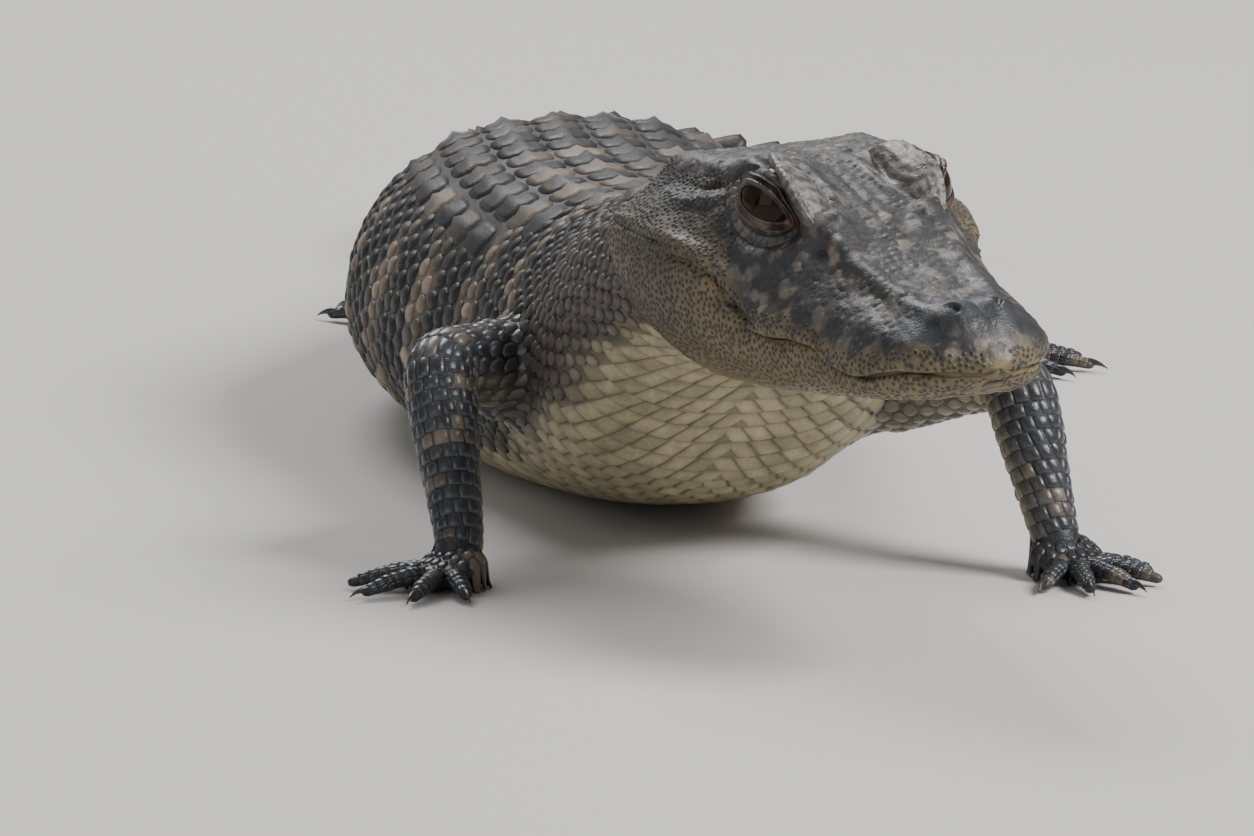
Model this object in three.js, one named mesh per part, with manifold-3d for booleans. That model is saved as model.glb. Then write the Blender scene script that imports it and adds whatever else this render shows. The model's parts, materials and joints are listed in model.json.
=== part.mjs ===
// A young American alligator, about 0.86 m long, lying on its belly with its chest and head raised.
// Millimetres, +Z up, +X towards the head and +Y towards the animal's left; the floor is z = 0.
// The body is measured along its spine: place 0 is the rear edge of the skull, and places grow tailwards.

import * as THREE from 'three';
import { mergeVertices } from 'three/addons/utils/BufferGeometryUtils.js';
import Module from 'manifold-3d';

const wasm = await Module();
wasm.setup();

// Driving sizes of the whole animal
const HEAD_LENGTH = 123;
const SPINE_END = 735;
const MID_TRUNK = 196;
const MID_TRUNK_AT = { x: -0.5, y: 4.5 };
const CUT = 0.3;
const HALF_CUT = CUT / 2;
const SLIVER = 0.1;
const DEGREE = Math.PI / 180;

// Where one length of the body ends and the next begins, along the spine
const NECK_ENDS = 66;
const CHEST_ENDS = 186;
const TRUNK_ENDS = 312;
const TAIL_ENDS = [385, 455, 515, 570, 630, 735];

// Skin colours, dry and in daylight
const BACK_COLOR = 0x3a3733;
const BELLY_COLOR = 0xb9ae8f;
const LIMB_COLOR = 0x33363d;
const HEAD_COLOR = 0x4a453e;
const EYE_COLOR = 0x2b1d12;

/**
 * Smooth curve through a few [place, value] pairs that never overshoots them.
 * Beyond its ends the curve keeps its end values.
 */
function profile(pairs) {
  const last = pairs.length - 1;
  const rise = (i) => (pairs[i + 1][1] - pairs[i][1]) / (pairs[i + 1][0] - pairs[i][0]);
  const slopes = pairs.map((_, i) => {
    if (i === 0) return rise(0);
    if (i === last) return rise(last - 1);
    const before = rise(i - 1);
    const after = rise(i);
    return before * after <= 0 ? 0 : (2 * before * after) / (before + after);
  });
  return (place) => {
    if (place <= pairs[0][0]) return pairs[0][1];
    if (place >= pairs[last][0]) return pairs[last][1];
    let i = 0;
    while (place > pairs[i + 1][0]) i += 1;
    const span = pairs[i + 1][0] - pairs[i][0];
    const t = (place - pairs[i][0]) / span;
    const startWeight = (1 + 2 * t) * (1 - t) * (1 - t);
    const startPull = t * (1 - t) * (1 - t) * span;
    const endPull = -t * t * (1 - t) * span;
    return pairs[i][1] * startWeight + slopes[i] * startPull
      + pairs[i + 1][1] * (1 - startWeight) + slopes[i + 1] * endPull;
  };
}

/** Number with the sign of `side` and the size of |side| raised to `power`. */
function signedPower(side, power) {
  return Math.sign(side) * Math.abs(side) ** power;
}

// The spine in plan: the way the body faces at each place, in degrees to the left of +X
const SPINE_START = -30;
const SPINE_STEP = 1;
const facing = profile([
  [-30, 12], [0, 12], [40, 8], [100, 7.5], [196, 1], [290, -9], [345, -10], [385, 19],
  [430, 6], [475, -53], [520, -123], [570, -152], [630, -188], [735, -234],
]);

/** Plan points of the spine at every step, with the middle of the trunk at its own place. */
function walkSpine() {
  const points = [];
  let x = 0;
  let y = 0;
  for (let place = SPINE_START; place <= SPINE_END; place += SPINE_STEP) {
    points.push({ x, y });
    const angle = facing(place + SPINE_STEP / 2) * DEGREE;
    x -= Math.cos(angle) * SPINE_STEP;
    y -= Math.sin(angle) * SPINE_STEP;
  }
  const middle = points[MID_TRUNK - SPINE_START];
  return points.map((point) => ({
    x: point.x - middle.x + MID_TRUNK_AT.x,
    y: point.y - middle.y + MID_TRUNK_AT.y,
  }));
}

const spinePoints = walkSpine();

/** Plan position and left-hand direction of the spine at a place. */
function spineAt(place) {
  const index = Math.min(Math.max((place - SPINE_START) / SPINE_STEP, 0), spinePoints.length - 1.001);
  const i = Math.floor(index);
  const t = index - i;
  const from = spinePoints[i];
  const to = spinePoints[i + 1];
  const angle = facing(place) * DEGREE;
  return {
    x: from.x + (to.x - from.x) * t,
    y: from.y + (to.y - from.y) * t,
    forward: new THREE.Vector3(Math.cos(angle), Math.sin(angle), 0),
    left: new THREE.Vector3(-Math.sin(angle), Math.cos(angle), 0),
  };
}

// Cross-sections of neck, trunk and tail: half width, top and bottom height, and squareness
const halfWidth = profile([
  [-30, 24], [0, 33], [20, 37], [45, 41], [75, 42], [110, 45], [150, 52], [196, 56], [235, 53],
  [270, 42], [310, 31], [345, 26], [400, 20], [460, 14.5], [520, 10.5], [600, 6.5], [680, 3.6], [735, 1.3],
]);
const topHeight = profile([
  [-30, 88], [0, 92], [20, 90], [45, 84], [80, 77], [115, 73], [160, 71], [210, 70], [260, 63],
  [300, 57], [345, 47], [400, 36], [460, 28], [520, 20.5], [600, 15], [680, 9], [735, 3.5],
]);
const bottomHeight = profile([
  [-30, 58], [0, 49], [20, 34], [40, 17], [60, 8], [85, 3], [110, 0], [135, -2], [250, -2],
  [300, -1.5], [345, -2.5], [460, -2.5], [600, -1.5], [735, -0.6],
]);
const WAIST_SHARE = 0.42;
const sideRoundness = profile([[-30, 0.95], [60, 0.9], [110, 0.8], [250, 0.8], [345, 0.9], [735, 1]]);
const topRoundness = profile([[-30, 0.8], [80, 0.9], [200, 1], [345, 1], [735, 1]]);

/**
 * Point on the body surface.
 * place: along the spine; turn: angle round the body, 0 on the left side and a quarter turn on top;
 * grow: how far outside the surface.
 */
function bodyPoint(place, turn, grow = 0) {
  const spine = spineAt(place);
  const top = topHeight(place);
  const bottom = bottomHeight(place);
  const waist = bottom + (top - bottom) * WAIST_SHARE;
  const across = (halfWidth(place) + grow) * signedPower(Math.cos(turn), sideRoundness(place));
  const reach = Math.sin(turn) > 0 ? top - waist + grow : waist - bottom + grow;
  const height = waist + reach * signedPower(Math.sin(turn), topRoundness(place));
  return new THREE.Vector3(
    spine.x + spine.left.x * across,
    spine.y + spine.left.y * across,
    Math.max(height, grow > 0 ? -CUT : 0),
  );
}

/** Closed surface through rings of points, with each end closed to its centre. */
function loft(rings) {
  const count = rings[0].length;
  const vertices = rings.flat();
  const firstCentre = vertices.length;
  for (const ring of [rings[0], rings[rings.length - 1]]) {
    const centre = new THREE.Vector3();
    ring.forEach((point) => centre.add(point));
    vertices.push(centre.divideScalar(count));
  }
  const index = [];
  for (let r = 0; r < rings.length - 1; r += 1) {
    for (let i = 0; i < count; i += 1) {
      const next = (i + 1) % count;
      const a = r * count + i;
      const b = r * count + next;
      index.push(a, b, a + count, b, b + count, a + count);
    }
  }
  const lastRing = (rings.length - 1) * count;
  for (let i = 0; i < count; i += 1) {
    const next = (i + 1) % count;
    index.push(firstCentre, next, i);
    index.push(firstCentre + 1, lastRing + i, lastRing + next);
  }
  return closedGeometry(vertices, index);
}

/** Geometry from points and triangles, turned so that its faces point out. */
function closedGeometry(vertices, index) {
  let volume = 0;
  const cross = new THREE.Vector3();
  for (let i = 0; i < index.length; i += 3) {
    cross.crossVectors(vertices[index[i + 1]], vertices[index[i + 2]]);
    volume += vertices[index[i]].dot(cross);
  }
  const outward = volume > 0 ? index : index.slice().reverse();
  const geometry = new THREE.BufferGeometry();
  geometry.setAttribute('position', new THREE.Float32BufferAttribute(vertices.flatMap((p) => [p.x, p.y, p.z]), 3));
  geometry.setIndex(outward);
  return geometry;
}

/** Solid for joining and cutting, from a closed geometry. */
function toSolid(geometry) {
  const bare = geometry.clone();
  bare.deleteAttribute('normal');
  bare.deleteAttribute('uv');
  const merged = mergeVertices(bare, 1e-4);
  return new wasm.Manifold(new wasm.Mesh({
    numProp: 3,
    vertProperties: new Float32Array(merged.attributes.position.array),
    triVerts: new Uint32Array(merged.index.array),
  }));
}

/** Geometry of the largest closed surface of a solid, without the slivers that joining leaves. */
function toGeometry(solid) {
  const pieces = solid.decompose();
  pieces.sort((a, b) => b.volume() - a.volume());
  const mesh = pieces[0].simplify(SLIVER).getMesh();
  const geometry = new THREE.BufferGeometry();
  geometry.setAttribute('position', new THREE.BufferAttribute(new Float32Array(mesh.vertProperties), 3));
  geometry.setIndex(new THREE.BufferAttribute(new Uint32Array(mesh.triVerts), 1));
  return geometry;
}

/** Rounded blob with its own three radii, turned by `turns` and set at `centre`. */
function blob(centre, radii, turns = [0, 0, 0], sides = 12) {
  const geometry = new THREE.SphereGeometry(1, sides, Math.ceil(sides * 0.6));
  geometry.scale(...radii);
  geometry.applyMatrix4(new THREE.Matrix4().makeRotationFromEuler(new THREE.Euler(...turns)));
  geometry.translate(...centre);
  return geometry;
}

const model = new THREE.Group();

/** Adds one named node to the model. */
function addNode(name, geometry, color, roughness = 0.6) {
  const material = new THREE.MeshStandardMaterial({ color, roughness, metalness: 0 });
  const mesh = new THREE.Mesh(geometry, material);
  mesh.name = name;
  model.add(mesh);
}

// Body lengths
const BODY_SIDES = 24;
const TAIL_SIDES = [20, 16, 14, 12, 10, 8];

/** Closed length of the body between two places on the spine. */
function bodyLength(from, to, spacing, grow = 0, sides = BODY_SIDES) {
  const steps = Math.max(2, Math.round((to - from) / spacing));
  const rings = [];
  for (let i = 0; i <= steps; i += 1) {
    const place = from + ((to - from) * i) / steps;
    const ring = [];
    for (let k = 0; k < sides; k += 1) ring.push(bodyPoint(place, (2 * Math.PI * (k + 0.5)) / sides, grow));
    rings.push(ring);
  }
  return loft(rings);
}

// Head, in its own frame: x forward from the rear edge of the skull, z up from the level of the mouth
const skullRear = spineAt(0);
const HEAD_PLACE = new THREE.Vector3(skullRear.x, skullRear.y, 70);
const HEAD_TURN = 17.5;
const HEAD_NOSE_UP = -2;
const HEAD_LEAN = 2;

const crownHeight = profile([
  [-10, 22], [0, 29], [8, 31], [22, 32], [32, 31.3], [42, 29], [52, 27], [62, 24.3], [75, 20.3],
  [90, 17], [102, 15.5], [110, 15.5], [116, 13.5], [120, 10.5], [123, 7.5],
]);
const edgeWidth = profile([
  [-10, 18], [0, 20.5], [15, 20.5], [28, 18.5], [36, 18.3], [46, 18.5], [55, 17], [64, 13.8], [80, 12],
  [100, 10], [110, 8.5], [116, 7], [120, 5], [123, 2.5],
]);
const edgeHeight = profile([
  [-10, 18.5], [0, 28.6], [12, 30.6], [24, 32], [33, 34], [42, 33.4], [52, 30.6], [60, 26.6], [70, 21.4],
  [85, 17.5], [102, 15], [110, 14.5], [116, 12], [120, 9.5], [123, 6.5],
]);
const cheekWidth = profile([
  [-10, 31], [0, 34.5], [12, 34.5], [30, 31], [45, 27], [60, 24.5], [80, 21.5], [100, 18.5],
  [110, 16], [116, 12.5], [120, 9], [123, 4],
]);
const cheekHeight = profile([
  [-10, 15], [0, 18], [15, 19.5], [30, 19], [45, 15], [60, 12], [80, 9.5], [102, 8.5], [116, 8], [123, 6],
]);
const lipWidth = profile([
  [-10, 33], [0, 36], [12, 36.5], [37, 33], [50, 30], [60, 28], [69, 26], [84, 23.5], [93, 22],
  [103, 20], [110, 17.5], [116, 13.5], [120, 9.5], [123, 4.5],
]);
const mouthHeight = profile([
  [-10, 15], [28, 15], [37, 13.5], [43, 9], [50, 3.2], [60, 1], [70, 2], [78, 1.6], [86, -0.9],
  [94, -1.3], [104, 0.8], [111, 2.4], [123, 3],
]);
const jawBottom = profile([
  [-10, 4], [0, -4.5], [5, -8], [12, -12], [21, -15.4], [30, -16.6], [44, -15.6], [68, -12.3], [84, -9.5],
  [102, -6.5], [112, -4], [118, -1.5], [121.5, 1.2],
]);
const jawTuck = profile([[25, -1], [45, 0.8], [60, 1.5]]);

const HEAD_MATRIX = new THREE.Matrix4()
  .makeTranslation(HEAD_PLACE.x, HEAD_PLACE.y, HEAD_PLACE.z)
  .multiply(new THREE.Matrix4().makeRotationZ(HEAD_TURN * DEGREE))
  .multiply(new THREE.Matrix4().makeRotationY(-HEAD_NOSE_UP * DEGREE))
  .multiply(new THREE.Matrix4().makeRotationX(HEAD_LEAN * DEGREE));

/** Half outline of the upper head at x, from the crown down to the lip. */
function upperHalf(x, count) {
  const edge = { y: edgeWidth(x), z: edgeHeight(x) };
  const cheek = { y: cheekWidth(x), z: cheekHeight(x) };
  const lip = { y: lipWidth(x), z: mouthHeight(x) };
  const curve = new THREE.CatmullRomCurve3([
    new THREE.Vector3(x, 0, crownHeight(x)),
    new THREE.Vector3(x, edge.y * 0.5, crownHeight(x) * 0.65 + edge.z * 0.35),
    new THREE.Vector3(x, edge.y, edge.z),
    new THREE.Vector3(x, edge.y * 0.62 + cheek.y * 0.38, edge.z * 0.6 + cheek.z * 0.4),
    new THREE.Vector3(x, cheek.y, cheek.z),
    new THREE.Vector3(x, lip.y, lip.z + 2),
    new THREE.Vector3(x, lip.y - 0.8, lip.z),
  ]);
  return curve.getPoints(count);
}

/** Half outline of the lower jaw at x, from the lip down to the middle of the chin. */
function lowerHalf(x, count) {
  const level = mouthHeight(x);
  const depth = level - jawBottom(x);
  const width = lipWidth(x) - jawTuck(x);
  const curve = new THREE.CatmullRomCurve3([
    new THREE.Vector3(x, width - 0.6, level),
    new THREE.Vector3(x, width, level - depth * 0.3),
    new THREE.Vector3(x, width * 0.9, level - depth * 0.7),
    new THREE.Vector3(x, width * 0.62, level - depth * 0.96),
    new THREE.Vector3(x, 0, level - depth),
  ]);
  return curve.getPoints(count);
}

/** Ring of the upper head: outside from lip over the crown to the other lip, then the roof of the mouth. */
function upperRing(x, count) {
  const half = upperHalf(x, count);
  const left = half.slice().reverse();
  const right = half.slice(1).map((p) => new THREE.Vector3(p.x, -p.y, p.z));
  return [...left, ...right, new THREE.Vector3(x, 0, mouthHeight(x))];
}

/** Ring of the lower jaw: outside under the chin, then the floor of the mouth. */
function lowerRing(x, count) {
  const half = lowerHalf(x, count);
  const right = half.slice(0, -1).reverse().map((p) => new THREE.Vector3(p.x, -p.y, p.z));
  const ring = [...half, ...right, new THREE.Vector3(x, 0, mouthHeight(x))];
  return ring.map((p) => new THREE.Vector3(p.x, p.y, p.z - CUT));
}

/** Stations along the head between two places, closer together towards the snout. */
function headStations(from, to, count) {
  const places = [];
  for (let i = 0; i <= count; i += 1) places.push(from + (to - from) * Math.sin((i / count) * Math.PI * 0.5));
  return places;
}

const UPPER_POINTS = 9;
const LOWER_POINTS = 6;
const upperLoft = loft(headStations(-8, HEAD_LENGTH - 0.4, 28).map((x) => upperRing(x, UPPER_POINTS)));
const lowerLoft = loft(headStations(-9, HEAD_LENGTH - 3, 20).map((x) => lowerRing(x, LOWER_POINTS)));

// Eyes, set deep under the brow
const EYE_AT = { x: 42.5, y: 15.7, z: 25.9 };
const EYE_RADIUS = 7.6;
const GAZE = { x: 0.52, y: 0.82, z: 0.22 };
const EYE_SIDES = 12;

/** Sides of the animal: -1 is its right, +1 its left. */
const SIDES = [['right', -1], ['left', 1]];

let headSolid = toSolid(upperLoft);
for (const [name, side] of SIDES) {
  const centre = [EYE_AT.x, EYE_AT.y * side, EYE_AT.z];
  const gazeTurn = Math.atan2(GAZE.x, GAZE.y) * -side;
  const brow = toSolid(blob([46.5, 13 * side, 31.2], [15, 5.6, 3], [-0.1 * side, 0.34, -0.04 * side], 14));
  const eyeBulge = toSolid(blob(centre, [11.5, 8.6, 8.6], [0, 0.1, -0.25 * side], 14));
  const nostril = toSolid(blob([112, 4.6 * side, 12.6], [6.2, 4.2, 3.3], [0, 0.25, 0], 10));
  headSolid = headSolid.add(eyeBulge).add(brow).add(nostril);
  const opening = toSolid(blob(
    [EYE_AT.x + GAZE.x * 7, (EYE_AT.y + GAZE.y * 7) * side, EYE_AT.z + GAZE.z * 7 - 0.5],
    [7.6, 5, 4.2], [0, 0.12, gazeTurn], 14));
  const socket = toSolid(blob(centre, Array(3).fill(EYE_RADIUS + CUT), [0, 0, 0], EYE_SIDES));
  headSolid = headSolid.subtract(opening).subtract(socket);
  const eye = blob(centre, Array(3).fill(EYE_RADIUS), [0, 0, 0], EYE_SIDES);
  eye.applyMatrix4(HEAD_MATRIX);
  addNode(`eye_${name}`, toGeometry(toSolid(eye)), EYE_COLOR, 0.1);
}
const headGeometry = toGeometry(headSolid);
headGeometry.applyMatrix4(HEAD_MATRIX);
const jawGeometry = toGeometry(toSolid(lowerLoft).subtract(toSolid(upperLoft).translate([0, 0, -CUT])));
jawGeometry.applyMatrix4(HEAD_MATRIX);
addNode('head', headGeometry, HEAD_COLOR);
addNode('jaw', jawGeometry, BELLY_COLOR);

/** Geometry with every vertex moved outwards along its normal. */
function swell(geometry, distance) {
  const swollen = geometry.clone();
  swollen.computeVertexNormals();
  const position = swollen.attributes.position;
  const normal = swollen.attributes.normal;
  for (let i = 0; i < position.count; i += 1) {
    position.setXYZ(
      i,
      position.getX(i) + normal.getX(i) * distance,
      position.getY(i) + normal.getY(i) * distance,
      position.getZ(i) + normal.getZ(i) * distance,
    );
  }
  return swollen;
}

/** The space that the head and jaw take from the neck, with the cut round them. */
function headSpace() {
  const parts = [upperLoft, lowerLoft].map((part) => {
    const space = swell(part, CUT * 1.5);
    space.applyMatrix4(HEAD_MATRIX);
    return toSolid(space);
  });
  return parts[0].add(parts[1]);
}

// Scutes: bony plates in rows across the back, and the crests of the tail
const PLATE_SINK = 1.3;
const SCUTE_SEED = 7;

/** Repeatable draws between -1 and 1. */
function makeDraws(seed) {
  let state = seed;
  return () => {
    state = (state * 16807) % 2147483647;
    return (2 * state) / 2147483647 - 1;
  };
}

const draw = makeDraws(SCUTE_SEED);

/** Angle round the body at an arc length from the middle of the back, positive to the left. */
function turnAt(place, arc) {
  const stepTurn = (arc > 0 ? -1 : 1) * 0.02;
  let turn = Math.PI / 2;
  let walked = 0;
  let last = bodyPoint(place, turn);
  while (walked < Math.abs(arc) && Math.abs(turn - Math.PI / 2) < Math.PI / 2) {
    turn += stepTurn;
    const point = bodyPoint(place, turn);
    walked += point.distanceTo(last);
    last = point;
  }
  return turn;
}

/** Point at a height over the body surface, reached by place and arc length from the middle of the back. */
function overBody(place, arc, height) {
  const turn = turnAt(place, arc);
  const point = bodyPoint(place, turn);
  const lengthwise = bodyPoint(place - 1, turn).sub(bodyPoint(place + 1, turn));
  const sidewise = bodyPoint(place, turn + 0.03).sub(bodyPoint(place, turn - 0.03));
  return point.addScaledVector(lengthwise.cross(sidewise).normalize(), height);
}

/** Oblong keeled plate, its root sunk in the surface and its keel highest at the rear. */
function scute(place, arc, length, width, rim, keel) {
  const outline = [[-0.5, -0.36], [0.5, -0.46], [0.5, 0.46], [-0.5, 0.36]];
  const ring = (height) => outline.map(([l, w]) => overBody(place + l * length, arc + w * width, height));
  const vertices = [
    ...ring(-PLATE_SINK),
    ...ring(rim),
    overBody(place - 0.28 * length, arc, rim + (keel - rim) * 0.45),
    overBody(place + 0.42 * length, arc, keel),
  ];
  const index = [
    0, 2, 1, 0, 3, 2, 0, 1, 4, 1, 5, 4, 1, 2, 5, 2, 6, 5, 2, 3, 6, 3, 7, 6, 3, 0, 7, 0, 4, 7,
    4, 5, 8, 5, 9, 8, 5, 6, 9, 6, 7, 9, 7, 8, 9, 7, 4, 8,
  ];
  return toSolid(closedGeometry(vertices, index));
}

/** Upright triangular plate of the tail's crest, leaning tailwards. */
function crestPlate(place, arc, length, thick, height) {
  const foot = (l, w) => overBody(place + l * length, arc + w * thick, -PLATE_SINK);
  const top = (l, w, h) => overBody(place + l * length, arc + w * thick, h);
  const vertices = [
    foot(-0.5, -0.5), foot(-0.5, 0.5), foot(0.5, 0.5), foot(0.5, -0.5),
    top(-0.15, -0.2, height * 0.5), top(-0.15, 0.2, height * 0.5),
    top(0.62, 0.2, height), top(0.62, -0.2, height),
  ];
  const index = [
    0, 2, 1, 0, 3, 2, 4, 5, 6, 4, 6, 7,
    0, 1, 5, 0, 5, 4, 1, 2, 6, 1, 6, 5, 2, 3, 7, 2, 7, 6, 3, 0, 4, 3, 4, 7,
  ];
  return toSolid(closedGeometry(vertices, index));
}

// Rows of scutes on the trunk and tail base
const FIRST_ROW = 82;
const LAST_ROW = 316;
const ROW_SPACING = 13.8;
const SCUTE_WIDTH = 11.6;
const scutesAcross = profile([[82, 4], [100, 6], [128, 8], [245, 8], [285, 6], [316, 4]]);

/** Every scute of the neck, trunk and tail, as { place, solid }. */
function makeScutes() {
  const scutes = [];
  const add = (place, arc, length, width, rim, keel) => {
    const size = 1 + 0.06 * draw();
    scutes.push({ place, solid: scute(place, arc, length * size, width * size, rim, keel * size) });
  };
  for (const side of [-1, 1]) {
    add(10, side * 4.5, 7, 7, 0.7, 1.6);
    add(11, side * 13, 7, 7, 0.7, 1.6);
    add(36, side * 6.6, 13, 12, 1.1, 3.4);
    add(50.5, side * 6.4, 13, 11.5, 1.1, 3.4);
    add(43, side * 18.5, 11, 9, 1, 2.8);
  }
  for (let place = FIRST_ROW; place <= LAST_ROW; place += ROW_SPACING) {
    const count = 2 * Math.round(scutesAcross(place) / 2);
    for (let i = 0; i < count; i += 1) {
      const column = i - (count - 1) / 2;
      const outer = Math.abs(column) > 3;
      const keel = outer ? 2 : 2.7;
      add(place, column * SCUTE_WIDTH, ROW_SPACING * 0.9, SCUTE_WIDTH * (outer ? 0.8 : 0.9), 0.9, keel);
    }
  }
  return scutes;
}

// Tail whorls: each carries a pair of crest plates as far as the crests meet, then one
const WHORLS_START = 326;
const CRESTS_MEET = 548;
const whorlSpacing = profile([[326, 12.5], [500, 11], [640, 9], [735, 6.5]]);
const crestHeight = profile([[326, 3.2], [400, 4.4], [500, 4.5], [560, 4.2], [640, 3.6], [720, 1.8]]);
const crestArc = profile([[326, 15], [400, 10.5], [480, 6.5], [CRESTS_MEET, 2.2]]);

/** Every crest plate of the tail, as { place, solid }. */
function makeCrests() {
  const plates = [];
  for (let place = WHORLS_START; place < SPINE_END - 12; place += whorlSpacing(place)) {
    const length = whorlSpacing(place) * 0.94;
    const height = crestHeight(place) * (1 + 0.07 * draw());
    const thick = Math.max(1.4, halfWidth(place) * 0.16);
    const arcs = place < CRESTS_MEET ? [-crestArc(place), crestArc(place)] : [0];
    for (const arc of arcs) plates.push({ place, solid: crestPlate(place, arc, length, thick, height) });
  }
  return plates;
}

/** Block of space beyond a place on the spine, headwards (-1) or tailwards (+1). */
function beyond(place, way) {
  const BLOCK = [24, 150, 150];
  const block = new THREE.BoxGeometry(...BLOCK);
  const spine = spineAt(place);
  block.rotateZ(facing(place) * DEGREE);
  block.translate(
    spine.x - spine.forward.x * way * BLOCK[0] * 0.5,
    spine.y - spine.forward.y * way * BLOCK[0] * 0.5,
    BLOCK[2] * 0.4,
  );
  return toSolid(block);
}

const raisedPieces = [...makeScutes(), ...makeCrests()];

/** Adds one length of the body with the scutes that root on it. */
function addLength(name, from, to, spacing, sides, cutFrom = null) {
  let solid = toSolid(bodyLength(from + HALF_CUT, to - HALF_CUT, spacing, 0, sides));
  for (const { place, solid: piece } of raisedPieces) {
    if (place > from && place <= to) solid = solid.add(piece);
  }
  if (cutFrom) solid = solid.subtract(cutFrom);
  solid = solid.subtract(beyond(from + HALF_CUT, -1)).subtract(beyond(to - HALF_CUT, 1));
  addNode(name, toGeometry(solid), BACK_COLOR);
}

// Neck, trunk and tail
addLength('neck', SPINE_START + 8, NECK_ENDS, 10, 22, headSpace());
addLength('chest', NECK_ENDS, CHEST_ENDS, 16, BODY_SIDES);
addLength('belly', CHEST_ENDS, TRUNK_ENDS, 16, BODY_SIDES);
TAIL_ENDS.forEach((end, i) => {
  addLength(`tail_${i + 1}`, i === 0 ? TRUNK_ENDS : TAIL_ENDS[i - 1], end, 11, TAIL_SIDES[i]);
});

// Legs: root inside the body, elbow or knee, wrist or ankle, then the sole with its toes
const LIMB_SIDES = 10;
const TOE_SIDES = 6;
const TOE_RADIUS = 2.6;
const SOLE_RADIUS = 8;
const SOLE_THICKNESS = 4.2;
const CLAW_LENGTH = 6;
const CLAW_RADIUS = 1.3;
const CLAWED_TOES = 3;
const FORE_NAMES = ['upper_arm', 'forearm', 'hand'];
const HIND_NAMES = ['thigh', 'shin', 'foot'];
const LEGS = {
  front_right: {
    names: FORE_NAMES,
    root: [118, -4, 33], elbow: [154, -42, 45], wrist: [182, -39, 8], sole: [186, -42, 0],
    radii: [17, 13, 8.3, 7, 5.6],
    toes: [[8, 15], [-25, 18], [-58, 19], [-88, 18], [-115, 14]],
  },
  front_left: {
    names: FORE_NAMES,
    root: [116, 36, 33], elbow: [168, 85, 42], wrist: [184, 92, 8], sole: [187, 95, 0],
    radii: [17, 13, 8.3, 7, 5.6],
    toes: [[-25, 15], [5, 18], [32, 19], [58, 18], [88, 14]],
  },
  hind_right: {
    names: HIND_NAMES,
    root: [-94, 4, 30], elbow: [-88, -28, 24], wrist: [-127, -27, 8], sole: [-134, -27, 0],
    radii: [16, 13, 9, 7, 6],
    toes: [[-128, 20], [-150, 25], [-172, 26], [-194, 22]],
  },
  hind_left: {
    names: HIND_NAMES,
    root: [-94, 26, 30], elbow: [-64, 70, 31], wrist: [-78, 97, 8], sole: [-76, 103, 0],
    radii: [16, 13, 9, 7, 6],
    toes: [[15, 20], [42, 25], [66, 26], [90, 22]],
  },
};

/** Tapered rod along a straight line through three radii, kept above the floor. */
function rod(start, end, radii, steps, sides) {
  const radiusAt = profile(radii.map((radius, i) => [i / (radii.length - 1), radius]));
  const along = end.clone().sub(start).normalize();
  const across = new THREE.Vector3(0, 0, 1).cross(along).normalize();
  const up = along.clone().cross(across);
  const rings = [];
  for (let i = 0; i <= steps; i += 1) {
    const t = i / steps;
    const centre = start.clone().lerp(end, t);
    const ring = [];
    for (let k = 0; k < sides; k += 1) {
      const turn = (2 * Math.PI * (k + 0.5)) / sides;
      const point = centre.clone()
        .addScaledVector(across, Math.cos(turn) * radiusAt(t))
        .addScaledVector(up, Math.sin(turn) * radiusAt(t));
      point.z = Math.max(point.z, 0);
      ring.push(point);
    }
    rings.push(ring);
  }
  return toSolid(loft(rings));
}

/** Solid of a blob whose underside is flat on the floor. */
function restingBlob(centre, radii, turns) {
  const geometry = blob(centre, radii, turns, 8);
  const position = geometry.attributes.position;
  for (let i = 0; i < position.count; i += 1) position.setZ(i, Math.max(position.getZ(i), 0));
  return toSolid(geometry);
}

/** Sole with its toes and claws, as one solid on the floor. */
function soleSolid(leg) {
  const middleToe = leg.toes[Math.floor(leg.toes.length / 2)][0] * DEGREE;
  const centre = [leg.sole[0], leg.sole[1], SOLE_THICKNESS * 0.8];
  let solid = restingBlob(centre, [SOLE_RADIUS * 1.1, SOLE_RADIUS, SOLE_THICKNESS], [0, 0, middleToe]);
  leg.toes.forEach(([degrees, length], i) => {
    const direction = new THREE.Vector3(Math.cos(degrees * DEGREE), Math.sin(degrees * DEGREE), 0);
    const knuckle = new THREE.Vector3(centre[0], centre[1], TOE_RADIUS + 0.4).addScaledVector(direction, 3);
    const end = knuckle.clone().addScaledVector(direction, length);
    end.z = TOE_RADIUS * 0.7;
    solid = solid.add(rod(knuckle, end, [TOE_RADIUS + 0.5, TOE_RADIUS, TOE_RADIUS * 0.75], 2, TOE_SIDES));
    if (i >= CLAWED_TOES) return;
    const clawRoot = end.clone().addScaledVector(direction, -1.5);
    const clawTip = clawRoot.clone().addScaledVector(direction, CLAW_LENGTH);
    clawTip.z = 0.6;
    solid = solid.add(rod(clawRoot, clawTip, [CLAW_RADIUS, CLAW_RADIUS * 0.8, 0.35], 2, 5));
  });
  return solid;
}

/** Thin plate that parts a limb in two, square to `normal`. */
function parting(centre, normal, width) {
  const plate = new THREE.BoxGeometry(width, width, CUT);
  plate.applyQuaternion(new THREE.Quaternion().setFromUnitVectors(new THREE.Vector3(0, 0, 1), normal));
  plate.translate(centre.x, centre.y, centre.z);
  return toSolid(plate);
}

/** Geometry of the piece of a parted solid that lies nearest to a point. */
function pieceNear(pieces, point) {
  const away = (piece) => {
    const box = piece.boundingBox();
    const centre = new THREE.Vector3(...box.min).add(new THREE.Vector3(...box.max)).multiplyScalar(0.5);
    return centre.distanceTo(point);
  };
  return toGeometry(pieces.slice().sort((a, b) => away(a) - away(b))[0]);
}

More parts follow.
